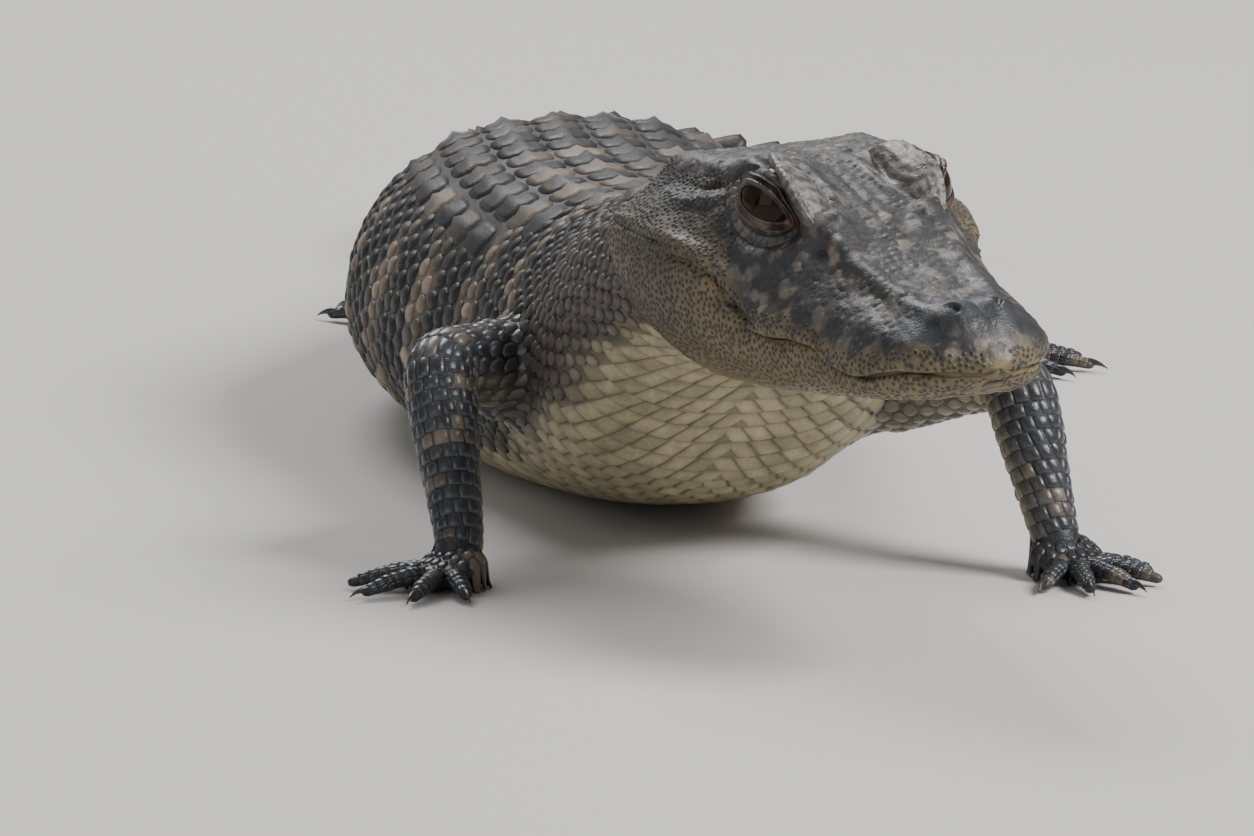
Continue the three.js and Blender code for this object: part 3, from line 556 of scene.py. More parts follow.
class HeadSurface(Surface):
    """Skin of the head: a runs from the rear of the skull to the snout, b is the arc from the crown."""

    ROWS, UPPER, GROOVE, LOWER = 190, 66, 5, 40
    TIP_RINGS = ((0.55, 0.8), (0.9, 0.5), (1.1, 0.2))

    def __init__(self, place: Sequence[float], turns: Triple, depth: float) -> None:
        """Shapes the head as a table of rings.

        Args:
            place: where the head's frame sits in the body's frame.
            turns: turn to the left, nose up and lean, in degrees.
            depth: how far inside the solids' surface this one lies.
        """
        turn, nose_up, lean = (math.radians(v) for v in turns)
        self.matrix = np.array(Matrix.Rotation(turn, 3, "Z") @ Matrix.Rotation(-nose_up, 3, "Y")
                               @ Matrix.Rotation(lean, 3, "X"))
        self.place = np.array(place, float)
        self.table = self.shape(depth)
        self.row_arcs = self.arcs_along()
        self.girths = np.linalg.norm(np.diff(self.table, axis=1), axis=2).sum(axis=1) / 2

    def shape(self, depth: float) -> Array:
        """Rings of points in the head's frame, shape (rows, columns, 3), from the rear to the tip.

        Args:
            depth: how far inside the solids' surface it lies.

        Returns:
            The table.
        """
        ways = np.linspace(0, 1, self.ROWS)
        x = HEAD_REAR + (HEAD_TIP - HEAD_REAR) * (1 - (1 - ways) ** 1.6)
        half = self.half_outline(x)
        half = np.concatenate([half] + [self.shrunk(half[-1], share)[None] for _, share in self.TIP_RINGS])
        x = np.concatenate([x, [HEAD_TIP + ahead for ahead, _ in self.TIP_RINGS]])
        left = np.concatenate([np.repeat(x[:, None, None], half.shape[1], axis=1), half], axis=2)
        right = left[:, :0:-1] * np.array([1, -1, 1])
        table = np.concatenate([right, left], axis=1)
        flat = table.reshape(-1, 3)
        mirrored = flat.copy()
        mirrored[:, 1] = np.abs(mirrored[:, 1])
        lift = sum(form.lift(mirrored) for form in HEAD_FORMS)
        lift = lift + 0.10 * ripple(flat, 5, 3) + 0.05 * ripple(flat, 2.2, 4) - depth
        normals = self.table_normals(table).reshape(-1, 3)
        table = (flat + normals * lift[:, None]).reshape(table.shape)
        self.plain = self.around_eyes(table, False)
        return self.around_eyes(table, True)

    @staticmethod
    def shrunk(ring: Array, share: float) -> Array:
        """A half ring drawn in towards its own middle."""
        middle = np.array([0, ring[:, 1].mean()])
        return middle + (ring - middle) * share

    def half_outline(self, x: Array) -> Array:
        """Left half of each ring as (y, z), from the crown over lip and jaw to the middle of the chin.

        Args:
            x: places of the rings.

        Returns:
            Shape (rows, points, 2).
        """
        crown, level = crown_height(x), mouth_height(x)
        edge = np.stack([edge_width(x), edge_height(x)], axis=-1)
        cheek = np.stack([cheek_width(x), cheek_height(x)], axis=-1)
        lip, tuck = lip_width(x), jaw_tuck(x)
        zero = np.zeros_like(x)
        upper = np.stack([
            np.stack([zero, crown], -1),
            np.stack([edge[:, 0] * 0.5, crown * 0.65 + edge[:, 1] * 0.35], -1),
            edge,
            edge * [0.62, 0.6] + cheek * [0.38, 0.4],
            cheek,
            np.stack([lip, level + 2], -1),
            np.stack([lip - 0.5, level + 0.12], -1)], axis=1)
        low = level - jaw_bottom(x)
        wide = lip - tuck
        lower = np.stack([
            np.stack([wide - 0.6, level - 0.5], -1),
            np.stack([wide, level - low * 0.3], -1),
            np.stack([wide * 0.9, level - low * 0.7], -1),
            np.stack([wide * 0.62, level - low * 0.96], -1),
            np.stack([zero, level - low], -1)], axis=1)
        upper = even_rows(catmull_rom(upper, np.linspace(0, 1, 200)), self.UPPER)
        lower = even_rows(catmull_rom(lower, np.linspace(0, 1, 140)), self.LOWER)
        start, end = upper[:, -1], lower[:, 0]
        groove = []
        for i in range(1, self.GROOVE + 1):
            t = i / (self.GROOVE + 1)
            inward = math.sin(math.pi * t) * 1.7 * lip_parting(x)
            point = start * (1 - t) + end * t
            groove.append(point - np.stack([inward, zero], -1))
        return np.concatenate([upper, np.stack(groove, axis=1), lower], axis=1)

    @staticmethod
    def table_normals(table: Array) -> Array:
        """Outward unit normals of a table of rings, one for each point."""
        return unit(np.cross(np.gradient(table, axis=0), np.gradient(table, axis=1)))

    @staticmethod
    def around_eyes(table: Array, under_lids: bool) -> Array:
        """The table with a bowl round each eye.

        Args:
            table: rings of points in the head's frame.
            under_lids: whether to draw the skin in further, under the lids and behind the eyeball.
        """
        seat = EYE_SEAT
        flat = table.reshape(-1, 3).copy()
        side = np.where(flat[:, 1] < 0, -1.0, 1.0)
        flat[:, 1] *= side
        beyond, local = seat.beyond(flat)
        near = (local[:, 2] > -4) & (beyond < 60)
        ceiling = seat.ceiling(beyond, local[:, :2])
        high = -0.5 * np.logaddexp(-local[:, 2] / 0.5, -ceiling / 0.5)
        high = np.where(beyond < 34, np.maximum(high, seat.cover(local[:, :2])), high)
        if under_lids:
            high = high - 0.9 * smoothstep(seat.reach - 1, seat.reach - 6, beyond)
            high = np.maximum(high, seat.cover(local[:, :2]) - 0.3 + 0.6 * smoothstep(15, 21, beyond))
            inside = smoothstep(2, -5, beyond)
            high = high * (1 - inside) + seat.behind * inside
        local[:, 2] = np.where(near, high, local[:, 2])
        flat = np.array(seat.centre) + local @ seat.axes()
        flat[:, 1] *= side
        return flat.reshape(table.shape)

    def arcs_along(self) -> Array:
        """Distance run along the side of the head at each row of the table."""
        return run_along(self.table[:, self.table.shape[1] // 2 + 40])

    def to_body(self, points: Array) -> Array:
        """Points of the head's frame in the body's frame."""
        return points @ self.matrix.T + self.place

    def locate(self, a: Array, b: Array) -> tuple[Array, Array]:
        """Row and column numbers in the table, with fractions.

        Args:
            a: places along the part.
            b: arcs round it.

        Returns:
            The row numbers and the column numbers.
        """
        row = np.interp(a, self.row_arcs, np.arange(len(self.row_arcs)))
        half = self.table.shape[1] // 2
        girths = self.half_girth(a)
        column = half + np.clip(b / girths, -1, 1) * half
        return row, column

    def half_girth(self, a: Array) -> Array:
        """Arc from the crown to the chin at each place."""
        return np.interp(a, self.row_arcs, self.girths)

    def head_points(self, a: Array, b: Array) -> Array:
        """Points in the head's own frame.

        Args:
            a: places along the part.
            b: arcs round it.

        Returns:
            The points, shape (n, 3).
        """
        row, column = self.locate(a, b)
        i = np.clip(row.astype(int), 0, self.table.shape[0] - 2)
        j = np.clip(column.astype(int), 0, self.table.shape[1] - 2)
        s, t = (row - i)[:, None], (column - j)[:, None]
        table = self.table
        return ((table[i, j] * (1 - t) + table[i, j + 1] * t) * (1 - s)
                + (table[i + 1, j] * (1 - t) + table[i + 1, j + 1] * t) * s)

    def points(self, a: Array, b: Array) -> Array:
        """Points on the surface in the body's frame."""
        return self.to_body(self.head_points(a, b))

    def patch(self, a: Array, b: Array) -> Array:
        """Places on the unwrap: along the head and round it."""
        u = a / self.row_arcs[-1]
        v = 0.5 + 0.5 * b / self.half_girth(a)
        return np.stack([0.01 + 0.98 * np.clip(u, 0, 1), 0.01 + 0.98 * np.clip(v, 0, 1)], axis=-1)


# Legs

@dataclass(frozen=True)
class LegPlan:
    """Joints of a leg, its thickness at five places from root to wrist, and its toes."""

    name: str
    root: Triple
    elbow: Triple
    wrist: Triple
    sole: Triple
    radii: tuple[float, float, float, float, float]
    toes: tuple[tuple[float, float], ...]


LEGS = (
    LegPlan("front_right", (118, -4, 33), (154, -42, 45), (182, -39, 8), (186, -42, 0),
            (17, 13, 8.3, 7, 5.6), ((8, 15), (-25, 18), (-58, 19), (-88, 18), (-115, 14))),
    LegPlan("front_left", (116, 36, 33), (168, 85, 42), (184, 92, 8), (187, 95, 0),
            (17, 13, 8.3, 7, 5.6), ((-25, 15), (5, 18), (32, 19), (58, 18), (88, 14))),
    LegPlan("hind_right", (-94, 4, 30), (-88, -28, 24), (-127, -27, 8), (-134, -27, 0),
            (16, 13, 9, 7, 6), ((-128, 20), (-150, 25), (-172, 26), (-194, 22))),
    LegPlan("hind_left", (-94, 26, 30), (-64, 70, 31), (-78, 97, 8), (-76, 103, 0),
            (16, 13, 9, 7, 6), ((15, 20), (42, 25), (66, 26), (90, 22))),
)
CLAWED_TOES = 3
TOE_RADIUS = 2.6
SOLE_HEIGHT = 4.6


class TubeSurface(Surface):
    """Skin of a limb or toe: a runs along a smooth axis, b is the arc round it from its upper side."""

    def __init__(self, axis: Array, radii: Curve, side: Sequence[float], flat: float = 1.0,
                 floor: float = 0.0, slot: tuple[float, float] = (0.0, 1.0)) -> None:
        """Sets the axis out with its own measure of length.

        Args:
            axis: points along the middle, close together.
            radii: radius for the share of the length, from 0 to 1.
            side: direction kept across the tube all along, near enough square to the axis.
            flat: height of the section for its width.
            floor: height that no point goes below.
            slot: share of the unwrap's width that this tube takes.
        """
        self.arcs = run_along(axis)
        self.length = float(self.arcs[-1])
        self.axis, self.radii, self.flat, self.floor, self.slot = axis, radii, flat, floor, slot
        tangents = unit(np.gradient(axis, axis=0))
        sides = np.array(side, float) - tangents * (tangents @ np.array(side, float))[:, None]
        self.tangents, self.sides = tangents, unit(sides)
        self.ups = unit(np.cross(self.tangents, self.sides))

    def along(self, table: Array, a: Array) -> Array:
        """A table of vectors read at distances along the axis."""
        return np.stack([np.interp(a, self.arcs, table[:, k]) for k in range(3)], axis=-1)

    def radius(self, a: Array) -> Array:
        """Radius at distances along the axis."""
        return self.radii(np.clip(a / self.length, 0, 1))

    def half_girth(self, a: Array) -> Array:
        """Arc from the upper side to the underside."""
        return math.pi * self.radius(a) * (1 + self.flat) / 2

    def points(self, a: Array, b: Array) -> Array:
        """Points on the surface, shape (n, 3).

        Args:
            a: places along the part.
            b: arcs round it.

        Returns:
            The points, shape (n, 3).
        """
        turn = math.pi * b / self.half_girth(a)
        radius = self.radius(a)[:, None]
        centre = self.along(self.axis, a)
        point = (centre + self.along(self.sides, a) * np.sin(turn)[:, None] * radius
                 + self.along(self.ups, a) * np.cos(turn)[:, None] * radius * self.flat)
        point[:, 2] = np.maximum(point[:, 2], self.floor)
        return point

    def patch(self, a: Array, b: Array) -> Array:
        """Places on the unwrap: along the tube and round it, in its own strip.

        Args:
            a: places along the part.
            b: arcs round it.

        Returns:
            Places between 0 and 1, shape (n, 2).
        """
        low, high = self.slot
        u = np.clip(a / self.length, 0, 1)
        v = low + (high - low) * (0.5 + 0.48 * np.clip(b / self.half_girth(a), -1, 1))
        return np.stack([0.01 + 0.98 * u, v], axis=-1)

    def tube(self, rings: int, sides: int) -> Solid:
        """Closed tube with a rounded end.

        Args:
            rings: rings along it.
            sides: points in each ring.

        Returns:
            Points and faces.
        """
        a = np.repeat(np.linspace(0, 1, rings) * self.length, sides)
        share = np.tile((np.arange(sides) / sides) * 2 - 1, rings)
        ring_points = self.points(a, share * self.half_girth(a)).reshape(rings, sides, 3)
        caps = []
        for cap_share, ahead in ((0.8, 0.45), (0.45, 0.8)):
            last = ring_points[rings - 1]
            centre = last.mean(axis=0)
            way = self.tangents[-1] * self.radius(np.array([self.length]))[0] * ahead
            ring = centre + (last - centre) * cap_share + way
            ring[:, 2] = np.maximum(ring[:, 2], self.floor)
            caps.append(ring)
        return loft(np.concatenate([ring_points, np.array(caps)]))


def loft(rings: Array) -> Solid:
    """Closed surface through rings of points, shape (rings, sides, 3), as points and faces.

    Args:
        rings: points, shape (rings, sides, 3).

    Returns:
        Points and faces.
    """
    count, sides = rings.shape[:2]
    middles = [ring.mean(axis=0)[None] for ring in (rings[0], rings[-1])]
    points = np.concatenate([rings.reshape(-1, 3), *middles])
    faces = []
    for r in range(count - 1):
        for i in range(sides):
            k = (i + 1) % sides
            faces.append((r * sides + i, r * sides + k, (r + 1) * sides + k, (r + 1) * sides + i))
    first, last = count * sides, count * sides + 1
    for i in range(sides):
        k = (i + 1) % sides
        faces.append((first, k, i))
        faces.append((last, (count - 1) * sides + i, (count - 1) * sides + k))
    return points, faces


class Leg:
    """One leg: the tube from shoulder or hip to wrist, its sole and its toes."""

    toe_radii = staticmethod(profile([
        (0, 2.9), (0.3, 2.2), (0.42, 2.35), (0.55, 1.95), (0.68, 2.1), (0.84, 1.6), (1, 1.3)]))

    def __init__(self, plan: LegPlan) -> None:
        """Sets out the surfaces of the leg from its plan.

        Args:
            plan: its joints, radii and toes.
        """
        self.plan = plan
        joints = (plan.root, plan.elbow, plan.wrist, plan.sole)
        root, elbow, wrist, sole = (np.array(joint, float) for joint in joints)
        heel = sole + [0, 0, SOLE_HEIGHT * 0.8]
        upper_way, lower_way = unit(elbow - root), unit(wrist - elbow)
        corner = 7.0
        bend = [self.bezier(elbow - upper_way * corner, elbow, elbow + lower_way * corner, t)
                for t in np.linspace(0, 1, 16)]
        foot_way = unit(heel - wrist)
        ankle = [self.bezier(wrist - lower_way * 4, wrist, wrist + foot_way * 2, t)
                 for t in np.linspace(0, 1, 8)]
        axis = np.array([root * (1 - t) + (elbow - upper_way * corner) * t for t in np.linspace(0, 0.97, 20)]
                        + bend
                        + [(elbow + lower_way * corner) * (1 - t) + (wrist - lower_way * 4) * t
                           for t in np.linspace(0.05, 0.95, 16)]
                        + ankle)
        upper_length = np.linalg.norm(elbow - root)
        whole = upper_length + np.linalg.norm(wrist - elbow)
        r = [radius - COAT_DEPTH for radius in plan.radii]
        split = upper_length / whole
        fore = plan.name.startswith("front")
        radii = profile([(0, r[0]), (split * 0.5, r[1] * 1.02), (split * 0.93, r[2] * 1.02),
                         (split + (1 - split) * 0.2, r[2] * (1.0 if fore else 1.08)),
                         (split + (1 - split) * 0.6, r[3] * 0.98), (1, r[4] * 1.02)])
        normal = unit(np.cross(upper_way, lower_way))
        if normal[2] < 0:
            normal = -normal
        self.limb = TubeSurface(axis, radii, normal, slot=(0.0, 0.4))
        self.middle = math.radians(plan.toes[len(plan.toes) // 2][0])
        self.heel, self.wrist_point = heel, wrist
        self.toes = [self.toe(i, math.radians(angle), length) for i, (angle, length) in enumerate(plan.toes)]

    @staticmethod
    def bezier(start: Array, middle: Array, end: Array, t: float) -> Array:
        """Point on a curve that leaves `start` for `middle` and arrives at `end`."""
        return start * (1 - t) ** 2 + middle * 2 * t * (1 - t) + end * t * t

    def toe(self, number: int, angle: float, length: float) -> TubeSurface:
        """Surface of one toe, arched over its middle and set down at its tip.

        Args:
            number: which toe, from the inner one.
            angle: where it points, in radians.
            length: its length.

        Returns:
            The toe's surface.
        """
        way = np.array([math.cos(angle), math.sin(angle), 0])
        shares = np.linspace(0, 1, 24)
        start = np.array([self.heel[0], self.heel[1], 0]) + way * 2.0
        arch = 1.3 * np.sin(shares * math.pi) * (1 - shares * 0.3)
        axis = start + np.outer(shares * (length + 1.0), way)
        axis[:, 2] = (TOE_RADIUS + 0.1) * (1 - shares) + TOE_RADIUS * 0.62 * shares + arch
        low = 0.42 + number * 0.11
        return TubeSurface(axis, self.toe_radii, (-way[1], way[0], 0), 0.85, 0.12, (low, low + 0.1))

    def solids(self) -> list[Solid]:
        """Closed shapes whose union is the leg.

        Returns:
            Points and faces of each.
        """
        shapes = [self.limb.tube(64, 30), self.sole()]
        shapes += [toe.tube(26, 14) for toe in self.toes]
        return shapes

    def sole(self) -> Solid:
        """Palm or sole: a low rounded pad from the wrist to the roots of the toes.

        Returns:
            Points and faces.
        """
        rings = []
        way = np.array([math.cos(self.middle), math.sin(self.middle), 0])
        side = np.array([-way[1], way[0], 0])
        base = np.array([self.heel[0], self.heel[1], 0])
        top = np.array([self.wrist_point[0], self.wrist_point[1], 0])
        for t in np.linspace(-1, 1, 20):
            swell = math.sqrt(max(0.0, 1 - t * t))
            centre = base + way * t * 9.6 - way * 0.5
            back = max(0.0, -t)
            centre = centre * (1 - back * 0.35) + top * back * 0.35
            wide, high = 8.4 * swell + 0.2, (3.4 + 2.6 * smoothstep(0.5, -0.6, t)) * swell + 0.2
            turn = np.linspace(0, 2 * math.pi, 28, endpoint=False)
            ring = centre + np.outer(np.cos(turn) * wide, side)
            ring[:, 2] = np.maximum(high * (0.9 + np.sin(turn) * 0.9), 0.12 + 0.02 * (1 + t))
            rings.append(ring)
        return loft(np.array(rings))


# Meshes

class Frame:
    """Moves points of the animal's frame, in millimetres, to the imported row's frame, in metres."""

    shift = np.zeros(3)

    @classmethod
    def settle(cls, head: HeadSurface) -> None:
        """Reads the shift from where an eye's solid stands.

        Args:
            head: the head, for where the eye sits in it.
        """
        low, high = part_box("eye_left")
        stands = (np.array(low) + np.array(high)) * 500
        cls.shift = stands - head.to_body(np.array(EYE_SEAT.centre))

    @classmethod
    def place(cls, points: Array) -> Array:
        """Points in metres in the row's frame."""
        return (points + cls.shift) / 1000


def mesh_piece(name: str, points: Array, faces: list | tuple[Array, Array]) -> Piece:
    """Smooth-shaded object with its place in its mesh.

    Args:
        name: name of the piece.
        points: places in millimetres in the animal's frame.
        faces: corner numbers of each face, or all of them in one array and the faces' sizes.

    Returns:
        The new object, linked to the scene.
    """
    mesh = bpy.data.meshes.new(name)
    if isinstance(faces, tuple):
        corners, sizes = faces
    else:
        sizes = np.array([len(face) for face in faces], np.int32)
        corners = np.array([corner for face in faces for corner in face], np.int32)
    mesh.vertices.add(len(points))
    mesh.vertices.foreach_set("co", Frame.place(points).astype(np.float32).ravel())
    mesh.loops.add(len(corners))
    mesh.loops.foreach_set("vertex_index", corners)
    mesh.polygons.add(len(sizes))
    starts = np.concatenate([[0], np.cumsum(sizes)[:-1]]).astype(np.int32)
    mesh.polygons.foreach_set("loop_start", starts)
    mesh.polygons.foreach_set("use_smooth", np.ones(len(sizes), bool))
    mesh.update(calc_edges=True)
    mesh.validate()
    obj = bpy.data.objects.new(name, mesh)
    bpy.context.collection.objects.link(obj)
    return obj


def select_only(obj: Piece) -> None:
    """Makes one object active and the only one selected.

    Args:
        obj: the object.
    """
    if bpy.context.object and bpy.context.object.mode != "OBJECT":
        bpy.ops.object.mode_set(mode="OBJECT")
    bpy.ops.object.select_all(action="DESELECT")
    obj.select_set(True)
    bpy.context.view_layer.objects.active = obj


@contextmanager
def editing() -> Iterator[bmesh.types.BMesh]:
    """Edit mode on the active object.

    Yields:
        Its mesh.
    """
    bpy.ops.object.mode_set(mode="EDIT")
    yield bmesh.from_edit_mesh(bpy.context.object.data)
    bpy.ops.object.mode_set(mode="OBJECT")


def point_outwards(obj: Piece) -> None:
    """Turns the faces of a closed mesh outwards.

    Args:
        obj: the piece.
    """
    select_only(obj)
    with editing():
        bpy.ops.mesh.select_all(action="SELECT")
        bpy.ops.mesh.normals_make_consistent(inside=False)


def own_points(obj: Piece) -> Array:
    """Vertices of a piece in millimetres in the animal's frame.

    Args:
        obj: the piece.

    Returns:
        The points, shape (n, 3).
    """
    co = np.empty(len(obj.data.vertices) * 3, np.float32)
    obj.data.vertices.foreach_get("co", co)
    return co.reshape(-1, 3).astype(float) * 1000 - Frame.shift


def write_points(obj: Piece, points: Array) -> None:
    """Puts a piece's vertices where given, in millimetres in the animal's frame."""
    obj.data.vertices.foreach_set("co", Frame.place(points).astype(np.float32).ravel())
    obj.data.update()


def write_marking(obj: Piece, colours: Array) -> None:
    """Stores a colour for each vertex as the attribute that the finishes read.

    Args:
        obj: the piece.
        colours: red, green and blue for each vertex.
    """
    layer = obj.data.color_attributes.new("marking", "FLOAT_COLOR", "POINT")
    rgba = np.concatenate([np.clip(colours, 0, 1), np.ones((len(colours), 1))], axis=1)
    layer.data.foreach_set("color", rgba.astype(np.float32).ravel())


# Scales

class ScaleKind(Enum):
    """How a single scale is shaped."""

    BEAD = "bead"
    TILE = "tile"
    KEEL = "keel"
    CREST = "crest"
    PEBBLE = "pebble"
    SWELL = "swell"


@dataclass(frozen=True)
class ScaleShape:
    """A scale modelled once: its points as (length, width, height) shares, and its faces."""

    points: Array
    corners: Array
    sizes: Array
    reach: Array


class ScaleMaker:
    """Models each kind of scale once, from a primitive."""

    @staticmethod
    def taken(obj: Piece) -> tuple[Array, Array, Array]:
        """Reads a mesh's points, corners and face sizes, and removes it.

        Args:
            obj: the object.

        Returns:
            Points, corners and face sizes.
        """
        mesh = obj.data
        points = np.array([v.co for v in mesh.vertices])
        sizes = np.array([len(f.vertices) for f in mesh.polygons], np.int32)
        corners = np.array([v for f in mesh.polygons for v in f.vertices], np.int32)
        bpy.data.objects.remove(obj)
        bpy.data.meshes.remove(mesh)
        return points, corners, sizes

    @classmethod
    def disc(cls, sides: int, insets: Sequence[float]) -> tuple[Array, Array, Array]:
        """Low closed disc whose top is inset in steps and drawn to a middle point.

        Args:
            sides: corners of its outline.
            insets: thickness of each inset, from the rim inwards.

        Returns:
            Points, corners and face sizes, with the rim one unit from the middle.
        """
        bpy.ops.object.select_all(action="DESELECT")
        bpy.ops.mesh.primitive_cylinder_add(vertices=sides, radius=1, depth=2, end_fill_type="NGON")
        obj = bpy.context.object
        with editing() as shape:
            for face in shape.faces:
                face.select_set(face.normal.z > 0.9)
            bmesh.update_edit_mesh(obj.data)
            for thickness in insets:
                bpy.ops.mesh.inset(thickness=thickness)
            bpy.ops.mesh.poke()
        return cls.taken(obj)

    @classmethod
    def slab(cls, cuts: int) -> tuple[Array, Array, Array]:
        """Low closed slab with a fine grid on top.

        Args:
            cuts: squares along each side of the grid.

        Returns:
            Points, corners and face sizes, one unit from the middle to each side.
        """
        bpy.ops.object.select_all(action="DESELECT")
        bpy.ops.mesh.primitive_grid_add(x_subdivisions=cuts, y_subdivisions=cuts, size=2)
        obj = bpy.context.object
        obj.data.transform(Matrix.Translation((0, 0, 1)))
        with editing() as shape:
            bpy.ops.mesh.select_all(action="DESELECT")
            for edge in [edge for edge in shape.edges if edge.is_boundary]:
                edge.select_set(True)
            bmesh.update_edit_mesh(obj.data)
            bpy.ops.mesh.extrude_edges_move(TRANSFORM_OT_translate={"value": (0, 0, -2)})
            bpy.ops.mesh.edge_face_add()
            bpy.ops.mesh.select_all(action="SELECT")
            bpy.ops.mesh.normals_make_consistent(inside=False)
        return cls.taken(obj)

    @classmethod
    def make(cls, kind: ScaleKind) -> ScaleShape:
        """One scale of a kind, with heights from 0 at its rim to 1 at its top and -1 at its root.

        Args:
            kind: how it is shaped.

        Returns:
            The scale.
        """
        if kind in (ScaleKind.KEEL, ScaleKind.CREST):
            points, corners, sizes = cls.slab(6)
        elif kind is ScaleKind.PEBBLE:
            points, corners, sizes = cls.disc(6, (0.55, 0.27))
        else:
            points, corners, sizes = cls.disc(8, (0.22, 0.4))
        flat = points[:, :2].copy()
        root = points[:, 2] < 0
        away = np.linalg.norm(flat, axis=1)
        square = kind in (ScaleKind.KEEL, ScaleKind.CREST)
        reach = np.abs(flat).max(axis=1) if square else away
        if kind is ScaleKind.CREST:
            rise = np.interp(flat[:, 0], [-1.0, -0.66, -0.3, 0.4, 1.0], [0.72, 1.0, 0.86, 0.5, 0.12])
            top = rise * np.clip(1 - np.abs(flat[:, 1]) ** 1.3, 0, 1)
        elif square:
            rounding = 1 - 0.16 * np.clip(np.minimum(np.abs(flat[:, 0]), np.abs(flat[:, 1])), 0, 1) ** 2
            flat *= rounding[:, None]
            top = 0.9 * (1 - reach ** 4) + 0.1 * (1 - reach ** 2)
        elif kind is ScaleKind.TILE:
            turn = np.arctan2(flat[:, 1], flat[:, 0])
            widest = np.maximum(np.abs(np.cos(turn)), np.abs(np.sin(turn)))
            flat *= (1 / np.maximum(widest, 0.5) ** 0.8)[:, None]
            top = np.clip(1.0 - reach ** 4, 0, 1) * 0.72 + 0.28 * np.clip(0.5 - 0.5 * flat[:, 0], 0, 1)
            top = np.where(reach > 0.95, 0.0, top)
        elif kind is ScaleKind.SWELL:
            top = np.clip(1 - reach ** 2, 0, 1) ** 1.3
        else:
            top = np.sqrt(np.clip(1 - reach ** 2, 0, 1))
        if kind is ScaleKind.KEEL:
            ridge = np.clip(1 - np.abs(flat[:, 1]) / 0.34, 0, 1) ** 1.2
            rise = np.interp(flat[:, 0], [-1, -0.75, 0.2, 0.85, 1], [0.9, 1.25, 0.9, 0.4, 0.1])
            top = top + ridge * rise * np.clip(1.15 - reach ** 6, 0, 1)
        height = np.where(root, -1.0, top)
        flat = np.where(root[:, None], flat * 0.96, flat)
        shaped = np.stack([-flat[:, 0] * 0.5, flat[:, 1] * 0.5, height], axis=-1)
        return ScaleShape(shaped, corners, sizes, np.where(root, 1.0, np.clip(reach, 0, 1)))


@dataclass
class ScaleField:
    """A set of like scales on one surface: where each roots, its size, height and colour."""

    surface: Surface
    kind: ScaleKind
    a: Array
    b: Array
    length: Array
    width: Array
    height: Array
    colour: Array
    twist: Array | float = 0.0
    sink: float = 0.6
    # edge_shade darkens each scale's rim and gap_shade the skin between scales, both painted shade.
    edge_shade: float = 0.55
    gap_shade: float = 0.55
    level: bool = False
    bed: float = 0.0
    edge_colour: Array | None = None
    dot: Array | None = None

    def kept(self, keep: Array) -> "ScaleField":
        """The same field with only the scales marked.

        Args:
            keep: whether each scale stays.

        Returns:
            The smaller field.
        """
        picked = {}
        for name in ("a", "b", "length", "width", "height", "colour", "twist", "edge_colour", "dot"):
            value = getattr(self, name)
            picked[name] = value[keep] if isinstance(value, Array) else value
        return ScaleField(self.surface, self.kind, sink=self.sink, edge_shade=self.edge_shade,
                          gap_shade=self.gap_shade, level=self.level, bed=self.bed, **picked)

    def frames(self) -> tuple[Array, Array, Array, Array]:
        """Root, way along, way across and way out of each scale.

        Returns:
            Four arrays of shape (n, 3).
        """
        root = self.surface.points(self.a, self.b)
        out = self.surface.normals(self.a, self.b)
        along = self.surface.points(self.a + 0.5, self.b) - self.surface.points(self.a - 0.5, self.b)
        along = unit(along - out * (along * out).sum(axis=1, keepdims=True))
        return root, along, np.cross(out, along), out


